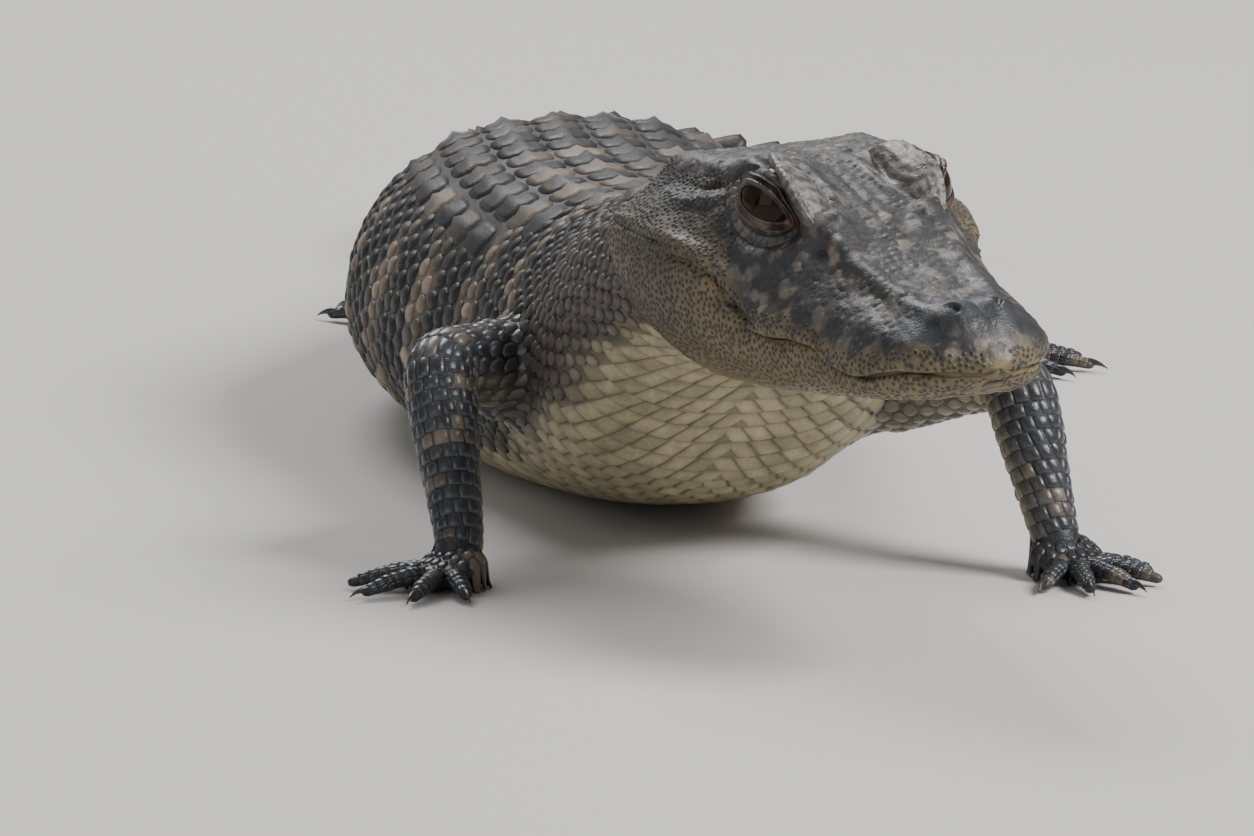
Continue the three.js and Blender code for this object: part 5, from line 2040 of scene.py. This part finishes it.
        top = sheet + up * ((bulge + margin + 0.07 * streak + 0.05 * pits) * ends - 0.4)
        base = sheet - up * 1.6
        points, faces = loft(np.concatenate([top, base[:, ::-1]], axis=1))
        obj = mesh_piece(f"brow_plate_{self.side}", self.out(points), faces)
        point_outwards(obj)
        stretched = points * [0.35, 1, 1]
        shade = smoothstep(-0.7, 0.6, ripple(points, 3, 41) * 0.6 + ripple(stretched, 1.4, 42) * 0.6)
        inner_share = np.pad(np.tile(np.concatenate([w[0, :, 0], w[0, ::-1, 0]]), rows), (0, 2))
        plate = mix(Tone.HEAD_DARK * 2.0, Tone.BROW, shade)
        along = np.pad(np.repeat(shares, 2 * columns), (0, 2))
        shown = smoothstep(0.05, 0.55, inner_share) * smoothstep(0.0, 0.18, along)
        shown = shown * smoothstep(1.0, 0.86, along)
        colours = mix(head_marking(points), plate, shown * 0.9)
        write_marking(obj, colours)
        Finish("horny_plate", roughness=0.4, grain=1500, bump=0.4, coat=0.15).dress(obj)
        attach(obj, "root")
        return obj


# Coat

@dataclass
class Layout:
    """Lays the scales of every part out in rows, with a little repeatable unevenness."""

    body: BodySurface
    head: HeadSurface
    legs: list[Leg]
    skin: SkinTree
    row_spacing: float = 13.8
    scute_width: float = 11.6
    first_row: float = 82.0
    last_row: float = 316.0
    coat_start: float = -14.0
    coat_end: float = 322.0
    neck_end: float = 80.0
    whorls_start: float = 326.0
    crests_meet: float = 548.0
    draws: np.random.Generator = field(default_factory=partial(np.random.default_rng, 12))

    across = staticmethod(profile([(82, 4), (100, 6), (128, 8), (245, 8), (285, 6), (316, 4)]))
    whorl_spacing = staticmethod(profile([(326, 12.5), (500, 11), (640, 9), (735, 6.5)]))
    crest_height = staticmethod(profile([
        (326, 3.2), (400, 4.4), (500, 4.5), (560, 4.2), (640, 3.6), (720, 1.8)]))
    crest_arc = staticmethod(profile([(326, 15), (400, 10.5), (480, 6.5), (548, 2.2)]))

    def uneven(self, count: int, amount: float) -> Array:
        """Numbers about 1, spread by `amount` either way."""
        return 1 + amount * self.draws.uniform(-1, 1, count)

    def body_field(self, kind: ScaleKind, rows: Sequence | Array, height: Array,
                   **options: float | Array) -> ScaleField:
        """Field of like scales on the body.

        Args:
            kind: how they are shaped.
            rows: place, arc, length and width of each.
            height: height of each.
            options: further fields of the scale field.

        Returns:
            The field.
        """
        a, b, length, width = np.array(rows, float).T
        colour = body_marking(a, b, self.body.half_girth(a), self.body.points(a, b))
        shade = self.uneven(len(a), 0.16)[:, None]
        return ScaleField(self.body, kind, a, b, length, width, height, colour * shade, **options)

    def back(self) -> Coat:
        """Keeled scutes of the back, neck shield and tail base.

        Returns:
            The coat.
        """
        coat = Coat("back_scutes", self.skin)
        rows = []
        place = self.first_row
        while place <= self.last_row:
            count = 2 * round(float(self.across(place)) / 2)
            for i in range(count):
                column = i - (count - 1) / 2
                broad = self.scute_width * (0.84 if abs(column) > 3 else 0.98)
                size = 1 + 0.05 * self.draws.uniform(-1, 1)
                rows.append((place + self.draws.uniform(-0.4, 0.4), column * self.scute_width,
                             self.row_spacing * 0.99 * size, broad * size))
            place += self.row_spacing
        table = np.array(rows)
        middle = 1 - 0.3 * smoothstep(2.5, 4.0, np.abs(table[:, 1]) / self.scute_width)
        coat.add(self.body_field(ScaleKind.KEEL, rows, 0.85 * middle * self.uneven(len(rows), 0.3),
                                 sink=1.2, edge_shade=0.5), reach=2.5, snap=False)
        shield = []
        for side in (-1, 1):
            shield += [(36, side * 6.6, 14, 12.6), (50.5, side * 6.4, 14, 12), (43, side * 18.5, 12, 10),
                       (64, side * 5.6, 9, 8), (73, side * 6.5, 9, 8)]
            shield += [(9 + 0.4 * k, side * (3.6 + 7.4 * k), 7.5, 6.6) for k in range(4)]
        heights = np.array(([1.6, 1.6, 1.3, 0.9, 0.9] + [0.8] * 4) * 2)
        coat.add(self.body_field(ScaleKind.KEEL, shield, heights, sink=1.2, edge_shade=0.5),
                 reach=2.5, snap=False)
        return coat

    def shield_edge(self, place: Array) -> Array:
        """Arc at which the scutes of the back give way to the scales of the flank.

        Args:
            place: places on the spine.

        Returns:
            An arc for each.
        """
        count = 2 * np.round(self.across(place) / 2)
        edge = count / 2 * self.scute_width - 3.6
        covered = (place >= self.first_row - 6) & (place <= self.coat_end)
        return np.where(covered, edge, 0.0) + 0.4

    def belly_edge(self, place: Array) -> Array:
        """Arc at which the scales of the flank give way to the tiles of the belly."""
        return self.body.half_girth(place) * np.where(place < self.neck_end, 0.62, 0.69)

    @staticmethod
    def on_shield(a: Array, b: Array) -> Array:
        """Whether places on the neck are under its large scutes.

        Args:
            a: places along the part.
            b: arcs round it.

        Returns:
            True where they are.
        """
        b = np.abs(b)
        big = ((np.abs(a - 36) < 7) & (b < 13)) | ((np.abs(a - 50.5) < 7) & (b < 12.8))
        side = (np.abs(a - 43) < 6) & (np.abs(b - 18.5) < 5.2)
        rear = (((np.abs(a - 64) < 4.6) & (np.abs(b - 5.6) < 4.2))
                | ((np.abs(a - 73) < 4.4) & (np.abs(b - 6.5) < 4.2)))
        front = (np.abs(a - 9.6) < 4) & (b < 30)
        return big | side | rear | front

    def lattice(self, start: float, end: float, pitch: Curve, width: Curve, low: Curve, high: Curve,
                half: Curve) -> list[tuple]:
        """Staggered rows of places between two arcs on both sides.

        Args:
            start: first place along the part.
            end: last place along it.
            pitch: distance between rows at a place.
            width: width of a scale at a place.
            low: arc nearest the upper middle at a place.
            high: arc furthest from it at a place.
            half: arc from the upper to the lower middle, which rows that reach it close up at.

        Returns:
            Rows of (place, arc, length, width).
        """
        rows = []
        place, number = start, 0
        while place < end:
            here = np.array([place])
            step, low_arc = float(pitch(here)[0]), float(low(here)[0])
            high_arc, wide = float(high(here)[0]), float(width(here)[0])
            reaches = high_arc > float(half(here)[0]) - wide * 0.4
            count = max(1, round((high_arc - low_arc) / wide))
            wide = (high_arc - low_arc) / count
            shifted = number % 2 == 1
            for side in (-1, 1):
                for k in range(count + shifted):
                    arc = low_arc + (k + (0.0 if shifted else 0.5)) * wide
                    shared = shifted and (k == 0 or (k == count and reaches))
                    if shared and (side < 0 or (k == 0 and low_arc > 0.01)):
                        continue
                    rows.append((place, side * arc, step, wide))
            place += step
            number += 1
        return rows

    def flank(self, sign: int) -> Coat:
        """Oval scales of one side of neck, trunk and tail base.

        Args:
            sign: 1 for the left side, -1 for the right.

        Returns:
            The coat.
        """
        coat = Coat(f"flank_scales_{'left' if sign > 0 else 'right'}", self.skin)
        size = profile([(-10, 3.6), (30, 4.0), (80, 4.8), (140, 5.6), (300, 5.4), (326, 5)])
        wide = profile([(-10, 3.4), (30, 3.9), (80, 4.7), (140, 5.2), (300, 5.0), (326, 5)])
        table = np.array(self.lattice(self.coat_start, self.coat_end, size, wide, self.shield_edge,
                                      self.belly_edge, self.body.half_girth))
        table = table[(table[:, 1] * sign > 0) & ~self.on_shield(table[:, 0], table[:, 1])]
        number = len(table)
        table[:, 0] += self.draws.uniform(-0.5, 0.5, number)
        table[:, 1] += self.draws.uniform(-0.4, 0.4, number)
        table[:, 2] *= self.uneven(number, 0.12)
        table[:, 3] *= 0.98 * self.uneven(number, 0.12)
        height = 0.75 * self.uneven(number, 0.25)
        coat.add(self.body_field(ScaleKind.BEAD, table, height, sink=0.7, edge_shade=0.4), reach=1.2)
        return coat

    def belly(self) -> Coat:
        """Overlapping tiles of throat, chest and belly.

        Returns:
            The coat.
        """
        coat = Coat("belly_tiles", self.skin)
        half = self.body.half_girth
        pitch = profile([(-14, 4.2), (60, 5.2), (100, 6.4), (140, 7.8), (322, 7.8)])
        wide = profile([(-14, 4.6), (60, 5.8), (100, 6.8), (140, 7.6), (322, 6.6)])
        table = np.array(self.lattice(self.coat_start, self.coat_end, pitch, wide, self.belly_edge,
                                      half, half))
        number = len(table)
        table[:, 2] *= 1.08 * self.uneven(number, 0.05)
        table[:, 3] *= self.uneven(number, 0.05)
        coat.add(self.body_field(ScaleKind.TILE, table, 0.62 * self.uneven(number, 0.15),
                                 sink=0.7, edge_shade=0.62), reach=1.2)
        return coat

    def tail(self) -> Coat:
        """Whorls of oblong scales round the tail, and the upright crests over them.

        Returns:
            The coat.
        """
        coat = Coat("tail_scales", self.skin)
        rows, crests, heights = [], [], []
        place = self.whorls_start
        while place < SPINE_END - 5:
            step = float(self.whorl_spacing(place))
            half = float(self.body.half_girth(np.array([place]))[0])
            wide = float(np.interp(place, [326, 500, 735], [6.4, 5.2, 3.2]))
            count = max(3, round(half / wide))
            for part in (-0.25, 0.25):
                for side in (-1, 1):
                    for k in range(count):
                        rows.append((place + part * step, side * (k + 0.5) * half / count, step * 0.5,
                                     half / count * 0.98))
            paired = place < self.crests_meet
            arc = float(self.crest_arc(place))
            for side in ((-1, 1) if paired else (0,)):
                thick = max(2.2, float(half_width(place)) * 0.34)
                crests.append((place + step * 0.1, side * arc, step * 1.12, thick))
                heights.append(float(self.crest_height(place)) + COAT_DEPTH)
            place += step
        height = 0.6 * self.uneven(len(rows), 0.2)
        coat.add(self.body_field(ScaleKind.TILE, rows, height, sink=0.6, edge_shade=0.5),
                 reach=1.5, snap=False)
        height = np.array(heights) * self.uneven(len(heights), 0.06)
        coat.add(self.body_field(ScaleKind.CREST, crests, height, sink=0.8, edge_shade=0.8),
                 reach=2.5, snap=False)
        return coat

    def limb(self, leg: Leg, number: int) -> Coat:
        """Scales of one leg, from shoulder or hip to the toes.

        Args:
            leg: the leg.
            number: picks the spots' pattern.

        Returns:
            The coat.
        """
        coat = Coat(f"leg_scales_{leg.plan.name}", self.skin)
        fore = leg.plan.name.startswith("front")
        surface = leg.limb
        split = np.linalg.norm(np.array(leg.plan.elbow) - leg.plan.root) - 4
        upper_length, upper_width = (3.9, 3.8) if fore else (4.6, 4.6)

        def size(place: Array) -> Array:
            """Length of a scale, larger above the elbow or knee."""
            return np.where(place < split, upper_length, 3.3)

        def wide(place: Array) -> Array:
            """Width of a scale, larger above the elbow or knee."""
            return np.where(place < split, upper_width, 3.3)

        half = surface.half_girth
        table = np.array(self.lattice(4, surface.length - 1, size, wide, np.zeros_like, half, half))
        upper = table[:, 0] < split
        for kind, part in ((ScaleKind.BEAD, upper), (ScaleKind.TILE, ~upper)):
            chosen = table[part]
            count = len(chosen)
            a, b = chosen[:, 0], chosen[:, 1]
            points = surface.points(a, b)
            facing_down = surface.normals(a, b)
            inward = np.array([0, -1.0 if "left" in leg.plan.name else 1.0, -0.9])
            lower = smoothstep(0.35, 0.95, facing_down @ unit(inward)) * np.where(a < split, 1.0, 0.55)
            colour = limb_marking(points, lower, 51 + number) * self.uneven(count, 0.15)[:, None]
            colour = mix(colour, Tone.GREY_BEAD, 0.6 * smoothstep(split - 2, split - 22, a) * (1 - lower))
            edge = mix(colour, Tone.LIMB_EDGE, np.full(count, 0.5))
            coat.add(ScaleField(surface, kind, a, b, chosen[:, 2] * 1.06 * self.uneven(count, 0.12),
                                chosen[:, 3] * 0.98 * self.uneven(count, 0.12),
                                0.55 * self.uneven(count, 0.25), colour, sink=0.6, edge_colour=edge),
                     reach=1.2)
        for toe in leg.toes:
            self.toe(coat, toe, number)
        self.foot_top(coat, leg, number)
        return coat

    def toe(self, coat: Coat, toe: TubeSurface, number: int) -> None:
        """Short scutes across the top of a toe and small beads along its sides.

        Args:
            coat: the leg's coat.
            toe: the toe's surface.
            number: picks the spots' pattern.
        """
        places = np.arange(5.5, toe.length - 0.5, 2.25)
        half = toe.half_girth(places)
        for share, width in ((0.0, 0.46), (0.27, 0.30), (-0.27, 0.30), (0.52, 0.26), (-0.52, 0.26)):
            count = len(places)
            b = share * half
            points = toe.points(places, b)
            colour = limb_marking(points, np.zeros(count), 61 + number) * self.uneven(count, 0.12)[:, None]
            edge = colour * 0.6 + Tone.LIMB_EDGE * 0.12
            coat.add(ScaleField(toe, ScaleKind.TILE, places, b, np.full(count, 2.4), half * width * 1.05,
                                np.full(count, 0.42 if share == 0 else 0.3), colour, sink=0.4,
                                edge_colour=edge), reach=0.5)

    def foot_top(self, coat: Coat, leg: Leg, number: int) -> None:
        """Small scales over the back of the hand or foot.

        Args:
            coat: the leg's coat.
            leg: the leg.
            number: picks the spots' pattern.
        """
        surface = FootTop(leg, self.skin)
        places, arcs = np.meshgrid(np.arange(-9, 10, 2.5), np.arange(-9, 10, 2.6), indexing="ij")
        arcs = arcs + (np.arange(len(arcs)) % 2)[:, None] * 1.3
        a, b = places.ravel(), arcs.ravel()
        keep = (a / 10.5) ** 2 + (b / 8.6) ** 2 < 1
        a, b = a[keep], b[keep]
        count = len(a)
        points = surface.points(a, b)
        colour = limb_marking(points, np.zeros(count), 71 + number) * self.uneven(count, 0.15)[:, None]
        coat.add(ScaleField(surface, ScaleKind.BEAD, a, b, np.full(count, 2.7), np.full(count, 2.7),
                            np.full(count, 0.4), colour, sink=0.4, edge_shade=0.55), reach=0.4, snap=False)

    def scatter(self, spacing: float, keep: Callable[[Array], Array]) -> tuple[Array, Array]:
        """Evenly strewn places over the left side of the head.

        Args:
            spacing: least distance between two.
            keep: which points of the head's frame are wanted.

        Returns:
            Places along and arcs round.
        """
        head = self.head
        half = head.table.shape[1] // 2
        quads = head.table[:, half:]
        sides = [np.diff(quads, axis=0)[:, :-1], np.diff(quads, axis=1)[:-1]]
        area = np.linalg.norm(np.cross(*sides), axis=2).ravel()
        number = int(area.sum() / spacing ** 2 * 9)
        chosen = self.draws.choice(len(area), number, p=area / area.sum())
        row = chosen // sides[0].shape[1] + self.draws.uniform(0, 1, number)
        column = chosen % sides[0].shape[1] + self.draws.uniform(0, 1, number)
        a = np.interp(row, np.arange(len(head.row_arcs)), head.row_arcs)
        b = column / half * head.half_girth(a)
        local = head.head_points(a, b)
        wanted = keep(local)
        a, b, local = a[wanted], b[wanted], local[wanted]
        taken: dict[tuple[int, int, int], list[int]] = {}
        kept = []
        cells = np.floor(local / spacing).astype(int).tolist()
        rows = local.tolist()
        near = [(i, j, k) for i in (-1, 0, 1) for j in (-1, 0, 1) for k in (-1, 0, 1)]
        for index, ((x, y, z), (i, j, k)) in enumerate(zip(rows, cells)):
            others = [o for di, dj, dk in near for o in taken.get((i + di, j + dj, k + dk), ())]
            if all((rows[o][0] - x) ** 2 + (rows[o][1] - y) ** 2 + (rows[o][2] - z) ** 2 > spacing ** 2
                   for o in others):
                taken.setdefault((i, j, k), []).append(index)
                kept.append(index)
        return a[kept], b[kept]

    def head_field(self, kind: ScaleKind, places: tuple[Array, Array], sign: int, size: float,
                   height: Array, **options: float | Array) -> ScaleField:
        """Field of like scales at places on one side of the head.

        Args:
            kind: how they are shaped.
            places: places along and arcs round.
            sign: 1 for the left side, -1 for the right.
            size: length and width.
            height: height of each.
            options: further fields of the scale field.

        Returns:
            The field.
        """
        a, b = places[0], places[1] * sign
        count = len(a)
        local = self.head.head_points(a, b)
        colour = head_marking(local) * self.uneven(count, 0.1)[:, None]
        length, width = size * self.uneven(count, 0.12), size * self.uneven(count, 0.12)
        return ScaleField(self.head, kind, a, b, length, width, height, colour,
                          twist=self.draws.uniform(0, math.pi, count), level=True, **options)

    @staticmethod
    def clear_of_eye(local: Array) -> Array:
        """Whether places are outside the lids and the brow plate."""
        beyond, seen = EYE_SEAT.beyond(local)
        return ~((seen[:, 2] > -4) & (beyond < EYE_SEAT.reach - 4))

    @staticmethod
    def fine_reach(local: Array) -> Array:
        """How far above the mouth the fine pitted scales reach."""
        return 4.6 + 8.0 * smoothstep(56, 26, local[:, 0]) + 0.8 * ripple(local, 9, 81)

    def on_jaw(self, local: Array) -> Array:
        """Whether places on the left side carry the fine pitted scales.

        Args:
            local: points of the head's frame.

        Returns:
            True where they do.
        """
        above = local[:, 2] - mouth_height(local[:, 0])
        lip = (np.abs(above + 0.15) > 0.95) | (local[:, 0] < 50)
        outer = local[:, 1] > 3.0 + 7.0 * smoothstep(-4.0, -8.0, above)
        return (above < self.fine_reach(local)) & lip & outer & self.clear_of_eye(local) & (local[:, 0] > -6)

    def on_crown(self, local: Array) -> Array:
        """Whether places on the left side carry the flat uneven scales of the skull and snout.

        Args:
            local: points of the head's frame.

        Returns:
            True where they do.
        """
        above = local[:, 2] - mouth_height(local[:, 0])
        nose = (local[:, 0] > 105) & (above > 6)
        return (above > self.fine_reach(local) + 0.5) & self.clear_of_eye(local) & ~nose

    def on_chin(self, local: Array) -> Array:
        """Whether places are under the chin, between the jaws."""
        above = local[:, 2] - mouth_height(local[:, 0])
        return (above < -3.0) & (local[:, 1] < 3.4 + 7.0 * smoothstep(-4.0, -8.0, above))

    def jaw(self, sign: int) -> Coat:
        """Fine flat scales of lips, jaw and cheek on one side, each with its dark pit.

        Args:
            sign: 1 for the left side, -1 for the right.

        Returns:
            The coat.
        """
        coat = Coat(f"jaw_scales_{'left' if sign > 0 else 'right'}", self.skin)
        places = self.scatter(1.10, self.on_jaw)
        count = len(places[0])
        local = self.head.head_points(*places)
        pits = (self.draws.uniform(0, 1, count) < 0.96) * smoothstep(-13, -10, local[:, 2]) * 0.95
        height = 0.17 * self.uneven(count, 0.4)
        coat.add(self.head_field(ScaleKind.PEBBLE, places, sign, 1.42, height, bed=0.03, sink=0.3,
                                 edge_shade=0.96, gap_shade=0.9, dot=pits), reach=0.6, snap=False)
        return coat

    def crown(self, sign: int) -> Coat:
        """Low uneven scales over the top and side of the head, and soft ones under the chin.

        Args:
            sign: 1 for the left side, -1 for the right.

        Returns:
            The coat.
        """
        coat = Coat(f"head_scales_{'left' if sign > 0 else 'right'}", self.skin)
        places = self.scatter(1.9, self.on_crown)
        chosen = self.draws.uniform(0, 1, len(places[0])) < 0.8
        places = places[0][chosen], places[1][chosen]
        count = len(places[0])
        height = 0.2 * self.uneven(count, 0.5)
        coat.add(self.head_field(ScaleKind.SWELL, places, sign, 2.9, height, bed=0.06, sink=0.3,
                                 edge_shade=1.0, gap_shade=0.97), reach=0.6)
        places = self.scatter(2.6, self.on_chin)
        count = len(places[0])
        coat.add(self.head_field(ScaleKind.BEAD, places, sign, 3.4, 0.3 * self.uneven(count, 0.3), sink=0.4,
                                 edge_shade=0.75, gap_shade=0.7), reach=0.6, snap=False)
        return coat


class FootTop(Surface):
    """Upper side of a hand or foot: a towards the middle toe, b to its left."""

    def __init__(self, leg: Leg, skin: SkinTree) -> None:
        """Keeps the foot's middle and the way it points.

        Args:
            leg: the leg.
            skin: the finished skin.
        """
        self.way = np.array([math.cos(leg.middle), math.sin(leg.middle), 0])
        self.side = np.array([-self.way[1], self.way[0], 0])
        self.heel, self.skin = leg.heel, skin

    def points(self, a: Array, b: Array) -> Array:
        """Points where a drop from above meets the skin.

        Args:
            a: places along the part.
            b: arcs round it.

        Returns:
            The points, shape (n, 3).
        """
        flat = self.heel + np.outer(a, self.way) + np.outer(b, self.side)
        result = flat.copy()
        for i, (x, y, _) in enumerate(flat.tolist()):
            hit = self.skin.tree.ray_cast(Vector((x, y, 9.0)), Vector((0, 0, -1)))
            result[i, 2] = hit[0].z if hit[0] is not None else 0.2
        return result

    def patch(self, a: Array, b: Array) -> Array:
        """Places on the unwrap, in a corner of their own."""
        return np.stack([0.02 + 0.2 * (a / 24 + 0.5), 0.97 + 0.02 * (b / 24)], axis=-1)


class Claws:
    """The horny claws of one foot."""

    LENGTH, RADIUS = 6.0, 1.25

    def __init__(self, leg: Leg) -> None:
        """Keeps the leg whose toes carry the claws."""
        self.leg = leg

    def build(self) -> Piece:
        """Makes the claws as one piece, each a bent horn modelled from a cone.

        Returns:
            The piece.
        """
        parts = [self.horn(toe) for toe in self.leg.toes[:CLAWED_TOES]]
        select_only(parts[0])
        for part in parts[1:]:
            part.select_set(True)
        bpy.ops.object.join()
        obj = bpy.context.object
        obj.name = f"claws_{self.leg.plan.name}"
        write_marking(obj, np.tile(Tone.CLAW, (len(obj.data.vertices), 1)))
        Finish("claw_horn", roughness=0.25, variation=0.25, grain=900, bump=0.1, coat=0.4).dress(obj)
        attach(obj, "root")
        return obj

    def horn(self, toe: TubeSurface) -> Piece:
        """One claw, curving down from the end of a toe.

        Args:
            toe: the toe's surface.

        Returns:
            The claw.
        """
        bpy.ops.object.select_all(action="DESELECT")
        bpy.ops.mesh.primitive_cone_add(vertices=16, radius1=self.RADIUS, radius2=0.12, depth=self.LENGTH,
                                        end_fill_type="TRIFAN")
        obj = bpy.context.object
        with editing() as shape:
            for face in shape.faces:
                face.select_set(abs(face.normal.z) < 0.9)
            bmesh.update_edit_mesh(obj.data)
            bpy.ops.mesh.subdivide(number_cuts=6)
        way = toe.tangents[-1] * np.array([1, 1, 0])
        way = way / np.linalg.norm(way)
        side = np.array([-way[1], way[0], 0])
        root = toe.axis[-1] - way * 1.4
        co = np.array([v.co for v in obj.data.vertices])
        along = (co[:, 2] + self.LENGTH / 2) / self.LENGTH
        height = 1.9 + 0.9 * np.sin(along * 1.9) - 1.9 * along ** 2 + co[:, 0] * 1.05
        points = root * [1, 1, 0] + np.outer(along * self.LENGTH, way) + np.outer(co[:, 1] * 0.8, side)
        points[:, 2] = np.maximum(height, 0.15)
        write_points(obj, points)
        bpy.ops.object.shade_smooth()
        return obj


# Stage

@dataclass(frozen=True)
class Studio:
    """Floor, soft lights and the camera at the photo's angle."""

    azimuth: float = 5.0
    elevation: float = 10.5
    distance: float = 3000.0
    pixels_per_mm: float = 4.6
    image_width: float = 1254.0
    image_height: float = 836.0
    aim_pixel: tuple[float, float] = (769.0, 142.0)
    aim_height: float = 99.0

    def floor(self) -> None:
        """Pale floor under the animal."""
        bpy.ops.object.select_all(action="DESELECT")
        bpy.ops.mesh.primitive_plane_add(size=14, location=(0, 0, 0))
        floor = bpy.context.object
        floor.name = "floor"
        FloorFinish().dress(floor)

    def lights(self) -> None:
        """A key from the animal's left, a fill from its right, a light from behind and a soft sky."""
        self.area("key", (0.9, 1.5, 1.7), 1.0, 74)
        self.area("fill", (1.7, -1.3, 0.9), 1.6, 10)
        self.area("rim", (-1.3, -0.4, 1.5), 1.0, 26)
        world = bpy.data.worlds.new("studio")
        bpy.context.scene.world = world
        world.use_nodes = True
        world.node_tree.nodes["Background"].inputs["Color"].default_value = (0.87, 0.88, 0.91, 1)
        world.node_tree.nodes["Background"].inputs["Strength"].default_value = 0.26

    @staticmethod
    def area(name: str, place: Triple, size: float, power: float) -> None:
        """Square area light turned to the animal's chest.

        Args:
            name: its name.
            place: where it hangs, in metres.
            size: its side.
            power: its power in watts.
        """
        bpy.ops.object.light_add(type="AREA", location=place)
        light = bpy.context.object
        light.name = name
        light.data.size = size
        light.data.energy = power
        light.rotation_euler = (Vector((0.12, 0, 0.05)) - Vector(place)).to_track_quat("-Z", "Y").to_euler()

    def camera(self, body: BodySurface) -> None:
        """Camera whose view frames the animal as the photo does.

        Args:
            body: the body, whose nape is aimed at.
        """
        turn, rise = math.radians(self.azimuth), math.radians(self.elevation)
        back = np.array([math.cos(rise) * math.cos(turn), -math.cos(rise) * math.sin(turn), math.sin(rise)])
        right = np.array([math.sin(turn), math.cos(turn), 0])
        up = np.cross(back, right)
        nape = np.append(body.at_turn(np.array([0.0]), np.array([math.pi / 2]))[0][:2], self.aim_height)
        aside = (self.aim_pixel[0] - self.image_width / 2) / self.pixels_per_mm
        above = (self.image_height / 2 - self.aim_pixel[1]) / self.pixels_per_mm
        target = nape - right * aside - up * above
        data = bpy.data.cameras.new("camera")
        camera = bpy.data.objects.new("camera", data)
        bpy.context.collection.objects.link(camera)
        camera.location = Frame.place(target + back * self.distance)
        camera.rotation_euler = Vector(back).to_track_quat("Z", "Y").to_euler()
        data.sensor_width = 36.0
        data.lens = self.pixels_per_mm * self.distance / self.image_width * data.sensor_width
        data.clip_start, data.clip_end = 0.1, 50.0
        bpy.context.scene.camera = camera


def main() -> None:
    """Builds the alligator, its stage and its camera."""
    logging.basicConfig(level=logging.INFO, format="%(message)s")
    body = BodySurface(-COAT_DEPTH)
    nape = body.at_turn(np.array([0.0]), np.array([math.pi / 2]))[0]
    head = HeadSurface((nape[0], nape[1], 70.0), (17.5, -2.0, 2.0), 0.35)
    Frame.settle(head)
    studio = Studio()
    studio.floor()
    studio.lights()
    studio.camera(body)
    legs = [Leg(plan) for plan in LEGS]
    hide_maker = Skin(body, head, legs)
    hide = hide_maker.build()
    tree = SkinTree(hide)
    layout = Layout(body, head, legs, tree)
    coats = []
    body_finish = Finish("body_scale", roughness=0.54, coat=0.03)
    for coat in (layout.back(), layout.flank(1), layout.flank(-1), layout.belly(), layout.tail()):
        coat.build(body_finish, "body_skin")
        coats.append(coat)
    limb_finish = Finish("limb_scale", roughness=0.36, coat=0.22, bump=0.2)
    for number, leg in enumerate(legs):
        coat = layout.limb(leg, number)
        coat.build(limb_finish, "limb_skin")
        coats.append(coat)
        Claws(leg).build()
    head_finish = Finish("head_scale", roughness=0.52, coat=0.05, bump=0.35, grain=1300)
    for sign in (1, -1):
        for coat, slot in ((layout.jaw(sign), "jaw_skin"), (layout.crown(sign), "head_skin")):
            coat.build(head_finish, slot)
            coats.append(coat)
    Skin.mark(hide, coats, head)
    Finish("hide", roughness=0.5, coat=0.06, bump=0.35, grain=1500).dress(hide)
    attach(hide, "root")
    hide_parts(*Skin.NODES)
    for side in ("right", "left"):
        eye = Eye(side, head)
        eye.ball()
        eye.lids()
        eye.brow()
        LOG.info("eye_%s: ball, lids and plate", side)


if __name__ == "__main__":
    main()
